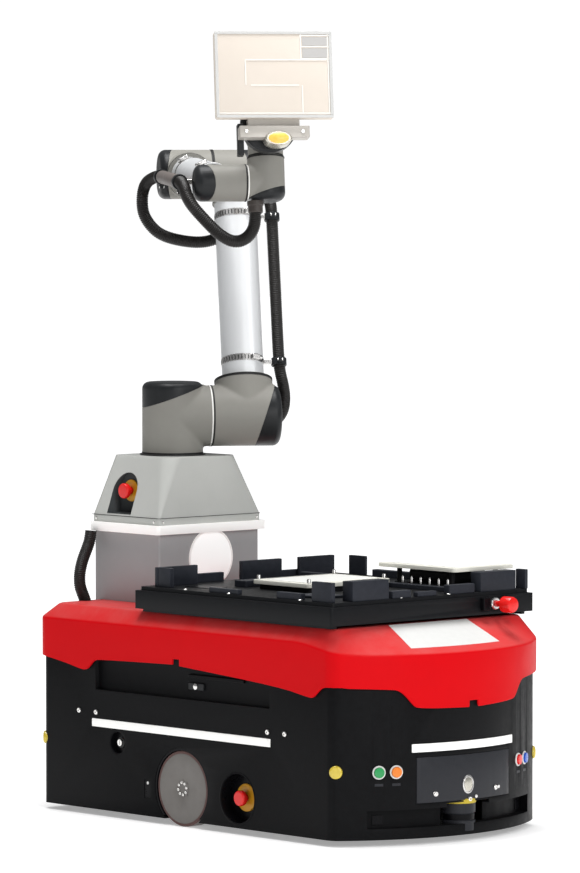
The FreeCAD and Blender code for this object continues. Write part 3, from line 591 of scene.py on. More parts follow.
def casting(name, place, body, radius, back, front, neck_radius, neck_length, near, far):
    """Barrel and neck grown together, cut off square at the joints and obliquely at the lid."""
    axis = along_x(place)
    barrel = cylinder_bm(radius, -back - 25, front + 25, axis)
    neck = cylinder_bm(neck_radius, 0, neck_length + 25, place)
    obj = mesh_object(name + "_cast", joined([barrel, neck]))
    grow = obj.modifiers.new("grow", "REMESH")
    grow.mode = "VOXEL"
    grow.voxel_size = 0.0024
    relax = obj.modifiers.new("relax", "SMOOTH")
    relax.iterations = 14
    relax.factor = 0.6
    me = evaluated(obj)
    bpy.data.objects.remove(obj)
    bm = bmesh.new()
    bm.from_mesh(me)
    slope = (near - far) / (2 * radius)
    middle = (near + far) / 2
    cut(bm, place, (-back, 0, 0), (-1, 0, 0))
    cut(bm, place, (0, 0, neck_length), (0, 0, 1))
    cut(bm, place, (middle, 0, 0), (1, 0, -slope))
    finish_object(mesh_object(name + "_cast", bm), "arm", body, name + "_housing", bevel=1.0, angle=50,
                  sharp=50)
    edge = 19 if radius < 50 else 17
    lid = lathe_bm([(0, -back)] + rounded(0, -back, radius, front, edge, 10), axis, 128)
    cut(lid, place, (middle + 0.8, 0, 0), (-1, 0, slope))
    finish_object(mesh_object(name + "_cap", lid), "lid", body, name + "_lid", bevel=0.8, angle=50,
                  sharp=50)
    # the dark line of the gasket between the two
    gasket = cylinder_bm(radius - 1.2, -back, front - 6, axis)
    cut(gasket, place, (middle + 1.0, 0, 0), (1, 0, -slope))
    cut(gasket, place, (middle - 1.5, 0, 0), (-1, 0, slope))
    finish_object(mesh_object(name + "_gasket", gasket), "seal", body)


def joint_ring(name, place, body, radius, low, mat, width):
    """A collar ring, 0.7 mm proud of a barrel or neck end, from a height along local Z."""
    high, inner, edge, rim = low + width, radius - 4, radius + 0.3, radius + 0.7
    lathe(name, [(inner, low), (edge, low), (rim, low + 0.4), (rim, high - 0.4), (edge, high), (inner, high)],
          place, mat, body, steps=128)


# frame, body, barrel radius, its reach back and forward, neck radius and length, lid edge near and far
ARM = {
    "shoulder": (axes(SHOULDER, UP, N1), "shoulder", BIG, 88, 82, BIG, 90, 74, 21),
    "upper_low": (axes(UPPER_LOW, N1, UP_ARM), "upper_arm", BIG, 83, 82, 69, 89, 73, 22),
    "upper_high": (axes(UPPER_HIGH, N1, -UP_ARM), "upper_arm", MIDDLE, 54.5, 64, 54, 76, 49, 17),
    "elbow": (axes(ELBOW, -N1, FORWARD), "forearm", MIDDLE, 61.5, 66, 54, 80, 50, 16),
    "wrist_1": (axes(WRIST_1, -N1, -FORWARD), "forearm", SMALL, 67, 55, 41, 62, 50, 8),
    "wrist_2": (axes(WRIST_2, -WRIST_UP, -N1), "wrist_link_1", SMALL, 60, 43, 41, 47.5, 36, 9),
    "wrist_3": (axes(WRIST_3, -TOOL, -WRIST_UP), "wrist_link_2", SMALL, 60, 47, 41, 54.5, 39, 11),
}
NECK_RING = {"upper_low": ("seal", 6.0), "shoulder": ("ringlight", 3.0), "wrist_2": ("ringlight", 3.0)}
UPPER, FORE = ARM["upper_low"][0], ARM["elbow"][0]
UPPER_TUBE, FORE_TUBE = 50, 45


def build_arm():
    for name, spec in ARM.items():
        place, body, radius, back, front, neck_radius, neck_length, near, far = spec
        casting(name, *spec)
        joint_ring(name + "_seal", along_x(place), body, radius, -back, "seal", 3.4)
        ring_mat, width = NECK_RING.get(name, ("seal", 3.0))
        joint_ring(name + "_lip", place, body, neck_radius, neck_length - width - 0.6, ring_mat, width)
    boss = lathe_bm([(0, 12), (18, 12), (18, 36), (16, 38), (0, 38)], along_x(shifted(UPPER, 0, BOSS, 3)), 64)
    finish_object(mesh_object("hose_boss", boss), "arm", "upper_arm", bevel=0.5)
    boxes("hose_boss_web", [(12, 38, 60, BOSS, -10, 16)], UPPER, "arm", "upper_arm", bevel=3.0)
    for name, place, body, radius, low, high in (("upper_tube", UPPER, "upper_arm", UPPER_TUBE, 89, 529),
                                                 ("fore_tube", FORE, "forearm", FORE_TUBE, 80, 510)):
        lathe(name + "_skin", [(radius - 4, low), (radius, low), (radius, high), (radius - 4, high)], place,
              "tube", body, name, 128)


build_arm()

# ---- clamps on the tubes ----
def tube_band(name, place, body, radius, height):
    """Slotted steel band with its worm-screw housing."""
    low, high, out = height - 8, height + 8, radius + 0.9
    lathe(name, [(radius, low), (out, low), (out, high), (radius, high)], place, "steel", body)
    bm = bmesh.new()
    for i in range(40):
        box_bm(bm, turned(place, 9 * i, "Z"), radius + 0.6, radius + 1.2, -1.1, 1.1, height - 5, height + 5)
    finish_object(mesh_object(name + "_slots", bm), "seal", body)
    side = turned(place, -62, "Z")
    boxes(name + "_worm", [(radius + 0.5, radius + 10, -11, 11, height - 7, height + 7)], side, "steel", body,
          bevel=3.0)
    screw = turned(shifted(side, radius + 5.5, 0, height), -90, "X")
    lathe(name + "_screw", [(0, 9), (5.2, 9), (5.2, 16), (4.2, 17.5), (0, 17.5)], screw, "bolt", body)


def hose_grip(name, place, body, node=None):
    """Black collar round a conduit, with its bolt ear; local Z runs along the conduit."""
    lathe(name, [(15, -9), (18, -9), (18.6, -7.5), (18.6, 7.5), (18, 9), (15, 9)], place, "lid", body, node,
          64)
    boxes(name + "_ear", [(16, 28, -4.5, 4.5, -7, 7)], place, "lid", body, bevel=1.5)
    pin = turned(shifted(place, 23, 0, 0), 90, "X")
    lathe(name + "_pin", [(0, -6.5), (4.0, -6.5), (4.0, 6.5), (0, 6.5)], pin, "bolt", body, bevel=0.5)


def turned_to(origin, z_axis, x_hint):
    """Frame with its local Z along one direction and its local X near another."""
    z = z_axis.normalized()
    x = (x_hint - z * x_hint.dot(z)).normalized()
    return axes(origin, x, z)


def bracket(name, place, body, x0, x1, y0, y1, middle):
    boxes(name, [(x0, x1, y0, y1, middle - 5, middle + 5)], place, "steel", body)


def build_clamps():
    for name, height in (("low", LOW_CLAMP), ("high", HIGH_CLAMP)):
        tube_band(name + "_band", UPPER, "upper_arm", UPPER_TUBE, height)
        bracket(name + "_bracket", UPPER, "upper_arm", 51, 72, -6, 6, height)
        hose_grip(name + "_grip", turned_to(low_arm(SIDE, 0, height), UP_ARM, -AWAY), "upper_arm",
                  "upper_clamps" if name == "low" else None)
    boxes("rear_bracket", [(-6, 6, 51, 68, 491, 511)], UPPER, "steel", "upper_arm")
    hose_grip("rear_grip", turned_to(CROSSED, SLANT, AWAY), "upper_arm")
    for name, height, out in (("rear", REAR_CLAMP, 0.4), ("front", FRONT_CLAMP, 0.5)):
        tube_band(name + "_band", FORE, "forearm", FORE_TUBE, height)
        bracket(name + "_fore_bracket", FORE, "forearm", 46, 61, -6, 6, height)
        hose_grip(name + "_fore_grip", turned_to(fore(FORE_SIDE, out, height), FORWARD, -UP), "forearm",
                  "fore_clamps" if name == "rear" else None)
    lathe("fore_sleeve", [(13.5, 0), (15.4, 0), (15.9, 1), (15.9, 298), (15.4, 299), (13.5, 299)],
          turned_to(fore(FORE_SIDE, 0.2, 170), FORWARD, UP), "sleeve", "forearm", steps=48)
    gland = turned_to(WRIST_2 - WRIST_UP * SMALL - N1 * 27, -WRIST_UP, N1)
    lathe("wrist_gland", [(0, 0), (19, 0), (19, 10), (17, 12), (17, 26), (15.4, 28), (0, 28)], gland, "gland",
          "wrist_link_1", steps=48, bevel=0.6)
    gland = turned_to(low_arm(38, BOSS, 3), N1, UP)
    lathe("boss_gland", [(0, 0), (18, 0), (18, 8), (16, 10), (0, 10)], gland, "seal", "upper_arm", steps=6)


build_clamps()


# ---- hood ----
# the casing's half width, rear face and corner radii, and the centre and radius of its bowed front
HALF, REAR_FACE, CORNER, REAR_CORNER = 316, 557, 40, 24
FRONT_Y, FRONT_R = -73.6, 494.4
HOOD_OUT, HOOD_WALL, HOOD_SPLIT, CROWN = 8, 5, 225, 487
HOOD_R, STRAIGHT = FRONT_R + HOOD_OUT, HALF - CORNER
TOP_HALF, TOP_FRONT, TOP_REAR = 292, -440, 532
SIDE_EDGE = [(-460, 358), (-436, 358), (-422, 353), (-408, 340), (-396, 331), (-380, 332), (-285, 348),
             (56, 371), (56.6, 386), (79.4, 386), (80, 373), (344, 367), (360, 362), (374, 349), (386, 340),
             (404, 340), (461, 352), (590, 370)]
FRONT_EDGE = [(-340, 358), (-205, 352), (-188, 348), (-174, 336), (-156, 314), (-144, 307), (-8, 303),
              (-7.5, 318), (19.5, 318), (20, 303), (150, 308), (164, 315), (180, 336), (194, 349),
              (210, 353), (340, 358)]


def softened(points, passes=2):
    """The line with its corners cut off, apart from its upright steps."""
    for _ in range(passes):
        out = [points[0]]
        for a, b in zip(points, points[1:]):
            if abs(a[0] - b[0]) < 1.0:
                out += [a, b]
                continue
            out.append((a[0] * 0.75 + b[0] * 0.25, a[1] * 0.75 + b[1] * 0.25))
            out.append((a[0] * 0.25 + b[0] * 0.75, a[1] * 0.25 + b[1] * 0.75))
        points = sorted(out + [points[-1]], key=lambda q: q[0])
    return points


def height_at(points, x):
    for a, b in zip(points, points[1:]):
        if a[0] <= x <= b[0]:
            return a[1] + (b[1] - a[1]) * (x - a[0]) / max(b[0] - a[0], 1e-6)
    return points[-1][1] if x > points[-1][0] else points[0][1]


def quarter(x, y, radius, start, share):
    """Point on an arc about (x, y), a share of a quarter turn on from the starting angle."""
    a = start + math.pi / 2 * share
    return (x + radius * math.cos(a), y + radius * math.sin(a))


def base_outline(inset, marks):
    """Points round the base; marks gives the fractions used on the front, side and rear."""
    half, rear, big = HALF - inset, REAR_FACE - inset, FRONT_R - inset
    corner, back = CORNER - inset, REAR_CORNER - inset
    cy = FRONT_Y - math.sqrt((big - corner) ** 2 - (half - corner) ** 2)
    end = math.atan2(half - corner, FRONT_Y - cy)
    out = [(big * math.sin(end * t), FRONT_Y - big * math.cos(end * t)) for t in marks["front"]]
    start = math.pi / 2 - end
    out += [(half - corner + corner * math.cos(-start * (1 - t)), cy + corner * math.sin(-start * (1 - t)))
            for t in marks["corner"]]
    out += [(half, cy + (rear - back - cy) * t) for t in marks["side"]]
    out += [quarter(half - back, rear - back, back, 0, t) for t in marks["back"]]
    out += [((half - back) * (1 - t), rear) for t in marks["rear"]]
    return out


def flat_outline(half, front, rear, corner, marks):
    """Points round a rectangle with round corners, matching those of base_outline."""
    flat = half - corner
    out = [(flat * t, front) for t in marks["front"]]
    out += [quarter(flat, front + corner, corner, -math.pi / 2, t) for t in marks["corner"]]
    out += [(half, front + corner + (rear - front - 2 * corner) * t) for t in marks["side"]]
    out += [quarter(flat, rear - corner, corner, 0, t) for t in marks["back"]]
    out += [(flat * (1 - t), rear) for t in marks["rear"]]
    return out


def mirrored(points):
    return points + [(-x, y) for x, y in points[-2:0:-1]]


def fold_height(y):
    """Height of the fold between the hood's wall and its sloping top; it dips at the nose."""
    t = min(1.0, max(0.0, (-330 - y) / 190.0))
    return 454.5 - 25 * t * t * (3 - 2 * t)


def bend(before, corner, after):
    """Three points round a bend from one point to another past a corner, then its last point."""
    points = [before * (1 - t) ** 2 + corner * 2 * t * (1 - t) + after * t * t for t in (0.25, 0.5, 0.75)]
    return points + [after]


def hood_bm():
    side_line, front_line = softened(SIDE_EDGE), softened(FRONT_EDGE)
    cy = FRONT_Y - math.sqrt((FRONT_R - CORNER) ** 2 - STRAIGHT ** 2)
    side_end = REAR_FACE - REAR_CORNER
    ys = sorted({q[0] for q in side_line} | {cy + i * (side_end - cy) / 70 for i in range(71)})
    xs = sorted({abs(q[0]) for q in front_line} | {i * 6.0 for i in range(54)})
    end = math.asin(STRAIGHT / (FRONT_R - CORNER))
    marks = {"front": [0.0] + [math.asin(x / HOOD_R) / end for x in xs if 1 < x < HOOD_R * math.sin(end) - 1],
             "corner": [i / 12 for i in range(12)],
             "side": [(y - cy) / (side_end - cy) for y in ys if cy <= y < side_end],
             "back": [i / 8 for i in range(8)], "rear": [i / 16 for i in range(17)]}

    def lower(x, y):
        if y < -500 or abs(x) < 300 and y < 0:
            return height_at(front_line, x)
        return height_at(side_line, y) if y < 560 else 370.0

    def sleeve(low, high, roof, drop):
        """Levels of points from the lower edge up over the fold and onto the flat top."""
        columns = []
        middle = (TOP_FRONT + TOP_REAR) / 2
        for (x, y), (u, v) in zip(low, high):
            foot = Vector((x, y, lower(x, y)))
            fold = Vector((x, y, fold_height(y) - drop))
            crown = Vector((u, v, roof))
            slope = (crown - fold).normalized()
            inward = Vector((-u, middle - v, 0)).normalized()
            wall, top = fold - UP * 5, crown - slope * 7
            column = [foot, foot.lerp(wall, 0.5), wall] + bend(wall, fold, fold + slope * 5)
            column += [column[-1].lerp(top, 0.5), top] + bend(top, crown, crown + inward * 7)
            columns.append(column)
        return zip(*columns)

    bm = bmesh.new()

    def skin(levels):
        rows = [[bm.verts.new(WORLD @ q) for q in level] for level in levels]
        for a, b in zip(rows, rows[1:]):
            bridge(bm, a, b)
        bm.faces.new(rows[-1])
        return rows[0]

    edges = []
    for inset, drop in ((0, 0), (HOOD_WALL, 3)):
        low = mirrored(base_outline(inset - HOOD_OUT, marks))
        high = mirrored(flat_outline(TOP_HALF - inset, TOP_FRONT + inset, TOP_REAR - inset,
                                     REAR_CORNER - inset, marks))
        edges.append(skin(sleeve(low, high, CROWN - inset, drop)))
    bridge(bm, *edges)
    return bm


def without(obj, cutters):
    """The object's mesh with other meshes taken out of it."""
    tools = []
    for bm in cutters:
        tool = mesh_object("cutter", bm)
        tools.append(tool)
        take = obj.modifiers.new("take", "BOOLEAN")
        take.operation = "DIFFERENCE"
        take.solver = "EXACT"
        take.object = tool
    me = evaluated(obj)
    name = obj.name
    for old in tools + [obj]:
        bpy.data.objects.remove(old)
    return linked(name, me)


def box_only(*size):
    bm = bmesh.new()
    box_bm(bm, WORLD, *size)
    return bm


def build_badge():
    """Blank white plate lying on the sloping front of the hood."""
    reach = HOOD_R * STRAIGHT / (FRONT_R - CORNER)
    bm = bmesh.new()
    last = None
    for i in range(41):
        x = -150 + 278 * i / 40
        fold = Vector((x, FRONT_Y - math.sqrt(HOOD_R ** 2 - x * x), 0))
        fold.z = fold_height(fold.y)
        crown = Vector((x * (TOP_HALF - REAR_CORNER) / reach, TOP_FRONT, CROWN))
        normal = (crown - fold).cross(ALONG_X).normalized()
        normal = normal if normal.z > 0 else -normal
        low, high = fold.lerp(crown, 0.2), fold.lerp(crown, 0.99)
        under, over = -normal * 0.6, normal * 0.35
        ring = [bm.verts.new(WORLD @ q) for q in (low + under, high + under, high + over, low + over)]
        if last:
            bridge(bm, last, ring)
        else:
            bm.faces.new(ring[::-1])
        last = ring
    bm.faces.new(last)
    finish_object(mesh_object("hood_badge", bm), "badge")


def build_hood():
    """Front and rear halves, with openings in the rear one for the pedestal and its conduit."""
    pedestal_gap = (-158, 158, 316, 551, 424, 600)
    for name, gone in (("hood_front", (-500, 500, HOOD_SPLIT + 0.5, 900, 100, 900)),
                       ("hood_rear", (-500, 500, -900, HOOD_SPLIT - 0.5, 100, 900))):
        cuts = [box_only(*gone)]
        if name == "hood_rear":
            cuts.append(box_only(*pedestal_gap))
            cuts.append(cylinder_bm(18, 0, 60, shifted(WORLD, -204, 528, 440), 48))
        obj = without(mesh_object(name + "_skin", hood_bm()), cuts)
        finish_object(obj, "red", "base", name, bevel=0.9, angle=50, sharp=50)
    build_badge()


build_hood()


# ---- base details ----
PANEL_SCREW = (6.0, 2.6, 4.6, 4.0, 2.4, 2.0)
SIDE_SCREW = (6.2, 2.4, 4.8, 3.8, 2.6, 2.0)
HUB_SCREW = (3.4, 2.4, 2.8, 3.2, 1.5, 1.4)
DECK_SCREW = (5, 1.6, 4, 2.6, 2.2, 1.2)
WHEEL_Y, WHEEL_Z = 56, 87.75
DECK, CARRIER, SKIRT, FOLD = 545, 566, 680, 689


def facing(x, y, z, right, out):
    """Frame on a face: local X to its right, local Z out of it."""
    return axes(Vector((x, y, z)), right, out)


def front_place(x, z):
    """Frame on the bowed front: local Z points outwards, local X to the right."""
    y = FRONT_Y - math.sqrt(FRONT_R ** 2 - x * x)
    n = Vector((x, y - FRONT_Y, 0)).normalized()
    return facing(x, y, z, Vector((-n.y, n.x, 0)), n)


def build_front():
    for name, x in (("green", -228), ("orange", -191), ("red", 191), ("blue", 228)):
        place = front_place(x, 166)
        lathe("bezel_" + name, [(11.9, -1), (15.6, -1), (15.6, 0.6), (14.8, 1.8), (12.8, 2.2), (11.9, 1.6)],
              place, "badge", steps=64)
        boxes("button_plate_" + name, [(-10, 10, -31, -25, -0.5, 0.4)], place, "shell_front", bevel=0.3)
    oval = front_place(-4.7, 128) @ Matrix.Diagonal((1, 1.25, 1, 1))
    lathe("panel_lens_rim", [(0, -1), (17, -1), (17, 1.2), (14.5, 2.4), (13.5, 1.0), (0, 1.0)], oval, "steel",
          steps=64)
    lathe("panel_lens", [(0, 0), (12.5, 0), (12.5, 1.6), (9, 2.6), (0, 3.2)], oval, "lens", steps=64)
    for i, (x, z) in enumerate(((-97, 112), (88, 113), (0, 94))):
        socket_screw("panel_bolt_%d" % i, front_place(x, z), PANEL_SCREW)
    for i, x in enumerate((-226, 236)):
        boxes("window_%d" % i, [(-13, 13, -11, 11, -22.2, -20.2)], front_place(x, 57), "dark", bevel=0.8)


def build_scanner():
    drum = shifted(WORLD, 0, -530, 0)
    lathe("scanner_drum", [(0, 22), (40, 22), (40, 44), (37.5, 46), (37.5, 60), (40, 62), (40, 84), (0, 84)],
          drum, "shell_front", "base", "laser_scanner", bevel=0.6)
    lathe("scanner_rim", [(30, 84), (40.8, 84), (41.6, 86), (41.6, 93), (40, 95), (0, 95), (0, 84)], drum,
          "scanner", closed=False)
    lathe("scanner_window", [(33, 46.5), (38.2, 46.5), (38.2, 59.5), (33, 59.5)], drum, "dark")
    boxes("scanner_foot", [(-28, 28, -500, -462, 20.3, 84)], WORLD, "dark", bevel=2.0)


def build_side(side, name):
    """Stop recess, latch, screws and drive wheel of one side; side is -1 on the left, 1 on the right."""
    out = ALONG_X * side

    def face(y, z, inset=0):
        return facing(side * (HALF - inset), y, z, ALONG_Y, out)

    stop = face(-136, 82)
    lathe("stop_lining_" + name, [(0, -31.6), (57.6, -31.6), (57.6, -0.4), (56.6, -0.4), (56.6, -31),
                                  (0, -31)], stop, "dark")
    lathe("stop_rim_" + name, [(57.9, -3), (61, -3), (61, 0.4), (58.6, 1.0), (57.9, 0.2)], stop, "shell")
    gap = lathe_bm([(88.4, -22), (93.4, -22), (93.4, -1.2), (88.4, -1.2)],
                   face(WHEEL_Y, WHEEL_Z), 128)
    cut(gap, WORLD, (0, 0, 22), (0, 0, -1))
    finish_object(mesh_object("wheel_gap_" + name, gap), "dark")
    latch = face(15, 326)
    boxes("recess_latch_" + name, [(-26, 26, -8, 8, -12.2, -7)], latch, "lid", bevel=2.0)
    lathe("latch_key_" + name, [(0, -8), (7, -8), (7, -5), (5.5, -4), (0, -4)], latch, "bolt")
    boxes("recess_step_" + name, [(-150, 40, -27, -19, -12.2, -6)], face(0, 326),
          "shell", bevel=1.5)
    for i, y in enumerate((419, 358, -239, -297)):
        socket_screw("side_bolt_%s_%d" % (name, i), face(y, 242), SIDE_SCREW)
    body = "drive_wheel_" + name
    hub = face(WHEEL_Y, WHEEL_Z, 4)
    lathe("wheel_face_" + name, [(0, -1.5), (78, -1.5), (80, -0.6), (80, 0.2), (78, 0.8), (26, 0.9),
                                 (24, 0.2), (0, 0.2)], hub, "wheel", body, steps=128)
    lathe("wheel_tread_" + name, [(80.4, -40), (87.6, -38), (87.6, -2), (86, 0.1), (81, 0.4), (80.4, -0.6)],
          hub, "tyre", body, steps=128)
    for i in range(8):
        a = math.pi / 4 * i + 0.2
        spot = shifted(hub, 14 * math.cos(a), 14 * math.sin(a), 0)
        socket_screw("wheel_bolt_%s_%d" % (name, i), spot, HUB_SCREW, body, steps=16)


def build_rear():
    rear = facing(0, REAR_FACE, 0, -ALONG_X, ALONG_Y)
    boxes("rear_door", [(-168, 168, 96, 300, -0.5, 1.6)], rear, "shell_front", bevel=1.2)
    boxes("rear_door_grip", [(-52, 52, 272, 288, 1.4, 3.2)], rear, "dark", bevel=0.8)
    for i, (x, z) in enumerate(((-152, 112), (152, 112), (-152, 284), (152, 284))):
        socket_screw("rear_bolt_%d" % i, shifted(rear, x, z, 1.4), PANEL_SCREW)
    boxes("charge_plate", [(-70, 70, 40, 74, -0.5, 1.6)], rear, "dark")
    boxes("charge_contacts", [(-56, -12, 51, 63, 1.4, 3.0), (12, 56, 51, 63, 1.4, 3.0)], rear, "steel",
          bevel=0.8)


def build_switches():
    """Lining of the key lock and the rocker switch on the left side."""
    face = facing(-HALF, 282, 176, ALONG_Y, -ALONG_X)
    lathe("key_cup", [(0, -13.6), (26.6, -13.6), (26.6, -0.4), (25.6, -0.4), (25.6, -13), (0, -13)], face,
          "dark")
    lathe("key_rosette", [(9, -13), (12.5, -13), (12.5, -10), (11, -9), (9, -9)], face, "foot", steps=48)
    face = facing(-HALF, 176, 77, ALONG_Y, -ALONG_X)
    boxes("switch_plate", [(-10.6, 10.6, -20.6, 20.6, -3, -1.2)], face, "dark")
    lathe("switch_dot", [(0, -1.4), (3.5, -1.4), (3.5, -0.4), (0, -0.2)], shifted(face, 0, -14, 0), "badge",
          steps=32)


def build_niche_shade():
    """Dark sheet inside the arched niche in the left side of the pedestal's sloping hood: painted shade for
    the niche's inside.
    """
    middle, spring, radius, foot, sill = 461, 747, 42.6, 694.4, -159.4
    turns = [math.pi * i / 24 for i in range(25)]
    arch = [(middle + radius * math.cos(a), spring + radius * math.sin(a)) for a in turns]
    arch = [(middle + radius, foot)] + arch + [(middle - radius, foot)]
    bm = bmesh.new()
    wall = [[bm.verts.new(WORLD @ Vector((x, y, z))) for y, z in arch] for x in (-178, -115.0)]
    bridge(bm, *wall)
    bm.faces.new(wall[1])
    slope = Vector((FOLD - 828, 0, 50)).normalized()
    bmesh.ops.bisect_plane(bm, geom=whole(bm), plane_co=WORLD @ Vector((sill, 0, FOLD)), plane_no=slope,
                           clear_outer=True, dist=1e-7)
    # a thin dark sheet over the niche's walls and roof, as painted shade
    obj = mesh_object("niche_shade_sheet", bm)
    thick = obj.modifiers.new("thick", "SOLIDIFY")
    thick.thickness = 0.0008
    thick.offset = 0
    finish_object(obj, "niche")


def build_pedestal():
    face = facing(4, 317, 590, ALONG_X, -ALONG_Y)
    # painted light: the disc and its rim, which takes the light band's glowing white, glow though neither is
    # a lamp
    lathe("pedestal_disc", [(0, -0.5), (68, -0.5), (68, 1.4), (66.5, 2.2), (0, 2.2)], face, "disc", steps=128)
    lathe("pedestal_disc_rim", [(63.5, 1.6), (68.6, 1.6), (68.6, 2.6), (67.6, 3.2), (64.5, 3.2), (63.5, 2.6)],
          face, "band", steps=128)
    screw = [(0, -0.5), (3.4, -0.5), (3.4, 0.9), (2.6, 1.6), (0, 1.7)]
    for i, x in enumerate((-146, 148)):
        lathe("skirt_bolt_%d" % i, screw, facing(x, 314, SKIRT, ALONG_X, -ALONG_Y), "bolt", steps=32)
    for i, y in enumerate((332, 540)):
        lathe("skirt_side_bolt_%d" % i, screw, facing(-160, y, SKIRT, ALONG_Y, -ALONG_X), "bolt", steps=32)
    low, high = FOLD - 0.8, FOLD + 0.6
    boxes("skirt_fold", [(-159, 159, 313.4, 314.6, low, high), (-160.6, -159.4, 315, 556, low, high),
                         (159.4, 160.6, 315, 556, low, high)], WORLD, "seal", bevel=0.3)
    build_niche_shade()


# ---- tool and held panel ----
PANEL_BARS = [(-130.84, 131.95, 206.19), (-128.51, 136.60, 15.71), (-63.40, 124.98, 140.71),
              (-51.77, 59.86, 81.19), (66.84, 131.95, 197.86), (66.84, 131.95, 171.67),
              (66.84, 131.95, 143.10)]
PANEL_POSTS = [(7.38, 206.19, -127.35), (16.90, 206.19, 128.47), (81.19, 140.71, -63.40),
               (16.90, 81.19, 66.84), (140.71, 206.19, 65.67)]
PANEL_INSETS = [(145.48, 168.10), (174.05, 194.29), (200.24, 207.38)]


def build_panel(face):
    """Ridges, insets and frame on the front of the held panel, across and then up."""
    ridges = [(x0, x1, y - 1.6, y + 1.6, -0.5, 1.4) for x0, x1, y in PANEL_BARS]
    ridges += [(x - 1.6, x + 1.6, y0, y1, -0.5, 1.4) for y0, y1, x in PANEL_POSTS]
    boxes("panel_ridges", ridges, face, "panel_white", "tool", bevel=0.7)
    boxes("panel_inset", [(69.16, 129.63, y0, y1, -0.5, 1.0) for y0, y1 in PANEL_INSETS], face, "panel_line",
          "tool", bevel=0.5)
    boxes("panel_frame", [(-133, 138, 5.4, 12, 0, 2.0), (-133, 138, 201, 208, 0, 2.0),
                          (-133, -126, 12, 201, 0, 2.0), (131, 138, 12, 201, 0, 2.0)], face,
          "panel_edge", "tool")


def build_tool():
    hand = axes(WRIST_3, N1, TOOL)
    lathe("disc_body", [(0, 92), (66, 92), (66, 114), (62, 118), (0, 118)], shifted(hand, -5, 0, 0), "lid",
          "tool", "sensor_disc")
    oval = shifted(hand, 9, -42, 0) @ Matrix.Diagonal((1.3, 0.72, 1, 1))
    lathe("lamp_plate", [(0, 116), (24, 116), (24, 156), (21, 160), (0, 160)], oval, "lens", "tool", steps=64)
    lathe("lamp_lens", [(0, 159), (18, 159), (18, 161), (12, 164.5), (0, 166)], oval, "glow", "tool",
          steps=64)
    boxes("side_strap", [(-80, -66, -74, 0, 96, 120)], hand, "lid", "tool", bevel=2.0)
    boxes("tie_row", [(x, x + 9, -10, 3.5, 121, 126) for x in range(-50, 50, 13)], hand, "dark", "tool",
          bevel=0.8)
    for i, x in enumerate((-64, 66)):
        stud("bracket_bolt_%d" % i, shifted(hand, x, -25, 154), "bolt", (4.5, 1.8, 3.4, 2.8), "tool", -0.5)
    build_panel(shifted(hand, 0, 0, 158))


# ---- tray ----
DECK_BLOCKS = [(-118, -60, -440, -420, 562), (-40, 20, -440, -424, 556), (60, 140, -440, -420, 566),
               (-300, -284, -330, -250, 560), (-300, -286, -120, -20, 556), (-220, -60, 196, 210, 566),
               (120, 290, 198, 211, 560), (110, 128, -120, 120, 562), (-150, 100, 20, 60, 560),
               (100, 124, -400, -160, 556), (286, 304, -120, 60, 562), (-246, -176, -340, -250, 551)]
DECK_SLOTS = [(-260, -170, -225, -205), (-60, 40, 90, 110), (150, 260, 60, 84), (-240, -190, 40, 130)]


def build_tray():
    """Red pull knob, deck screws, carrier studs and the small blocks between the guides."""
    knob = facing(191, -452, 518, ALONG_X, -ALONG_Y)
    lathe("knob_grip", [(0, -20), (7, -20), (7, 30), (16, 30), (18.6, 33), (18.6, 57), (16.5, 61), (11, 62.5),
                        (0, 62.5)], knob, "stopred", "tray_knob", "tray_knob", steps=64)
    lathe("knob_collar", [(7.6, 0), (14, 0), (14, 5), (12, 7), (7.6, 7)], knob, "steel", steps=48)
    boxes("knob_plate", [(-46, -25, -14, 16, 0, 13), (25, 44, -14, 16, 0, 13)], knob, "dark", bevel=2.5)
    bolts = [(x, y) for x in (-300, 300) for y in (-330, -90, 60)]
    bolts += [(x, y) for x in (-90, 60) for y in (-436, 204)]
    for i, (x, y) in enumerate(bolts):
        socket_screw("deck_bolt_%d" % i, shifted(WORLD, x, y, DECK), DECK_SCREW, foot=-0.5, steps=24)
    boxes("deck_blocks", [(*block[:4], DECK - 0.4, block[4]) for block in DECK_BLOCKS], WORLD, "guide",
          bevel=2.0)
    boxes("deck_slots", [(*slot, DECK + 0.2, DECK + 1.2) for slot in DECK_SLOTS], WORLD, "dark", bevel=0.4)
    for i, (x, y) in enumerate(((-150, -195), (-150, -25), (86, -195), (86, -25))):
        stud("carrier_stud_%d" % i, shifted(WORLD, x, y, CARRIER), "bolt", (4.5, 9, 3.2, 11))
    boxes("carrier_inlay", [(-140, 76, -180, -40, CARRIER, CARRIER + 1.4),
                            (132, 286, -384, -160, 599, 600.4)], WORLD, "plate")
    boxes("carrier_body", [(150, 268, -350, -205, 557, 589.8)], WORLD, "support", bevel=12.0, segments=5)
    for i in range(6):
        stud("test_pin_%d" % i, shifted(WORLD, 120, -372 + i * 30, 557), "steel", (3, 13, 1.2, 16), steps=16)


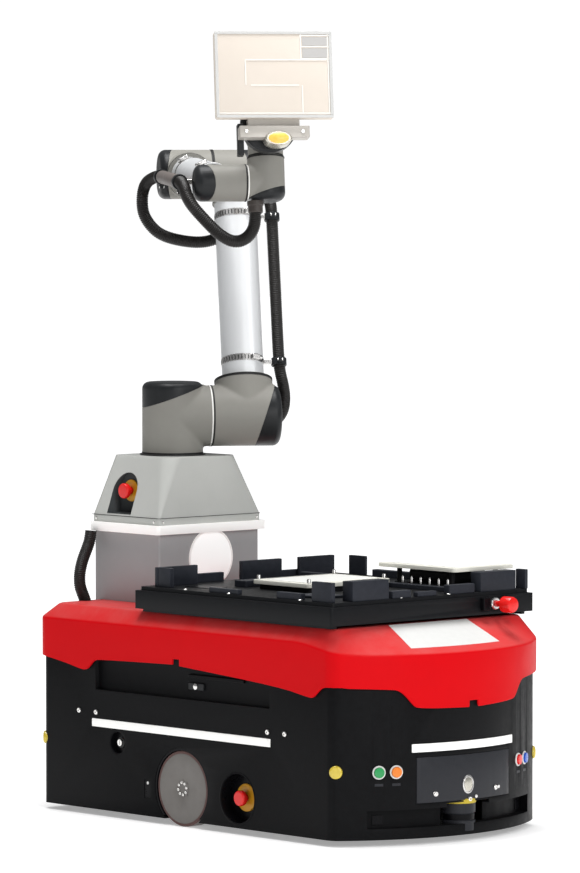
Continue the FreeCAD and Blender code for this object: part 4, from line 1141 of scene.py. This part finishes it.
build_tray()
build_front()
build_scanner()
build_side(-1, "left")
build_side(1, "right")
build_rear()
build_switches()
build_pedestal()
build_tool()

# ---- pieces shown as the CAD has them ----
CAD_FINISH = {
    "base_shell": ("shell", 1.5), "hood_front": ("red", 3.0), "hood_rear": ("red", 3.0),
    "light_strips": ("strip", 1.0), "access_panel": ("shell_front", 0.8), "stop_collars": ("yellow", 1.5),
    "body_screws": ("bolt", 0.5), "corner_lamps": ("amber", 1.5), "battery": ("battery", 2.0),
    "drive_motors": ("motor", 1.5), "drive_wheel_left": ("wheel", 0.5), "drive_wheel_right": ("wheel", 0.5),
    "caster_fork_front": ("steel", 0.8), "caster_fork_rear": ("steel", 0.8),
    "caster_wheel_front": ("rubber", 0.5), "caster_wheel_rear": ("rubber", 0.5),
    "button_green": ("green", 1.0), "button_orange": ("orange", 1.0), "button_red": ("stopred", 1.0),
    "button_blue": ("blue", 1.0), "stop_button_left": ("stopred", 0.8), "stop_button_right": ("stopred", 0.8),
    "stop_button_pedestal": ("stopred", 0.8), "key_lock": ("bolt", 0.4), "tray_deck": ("tray", 2.5),
    "tray_guides": ("guide", 1.5), "carrier_supports": ("support", 1.0), "carriers": ("cream", 1.5),
    "pedestal_box": ("pedestal", 1.5), "light_band": ("band", 4.0), "pedestal_hood": ("cover", 4.0),
    "arm_foot": ("foot", 0.5), "tool_flange": ("steel", 0.6), "tool_bracket": ("bracket", 2.0),
    "held_panel": ("panel", 4.0),
}


def finish_cad():
    """Material, welded seams and small round edges for each CAD piece that is shown."""
    for node, (mat, bevel) in CAD_FINISH.items():
        obj = NODES[node]
        if obj.hide_render:
            continue
        obj.data.materials.clear()
        obj.data.materials.append(M[mat])
        for p in obj.data.polygons:
            p.use_smooth = True
        weld = obj.modifiers.new("weld", "WELD")
        weld.merge_threshold = 0.00002
        edge = obj.modifiers.new("edge", "BEVEL")
        edge.width = bevel / 1000
        edge.segments = 3
        edge.limit_method = "ANGLE"
        edge.angle_limit = math.radians(40)
        edge.harden_normals = True
        edge.use_clamp_overlap = True


finish_cad()
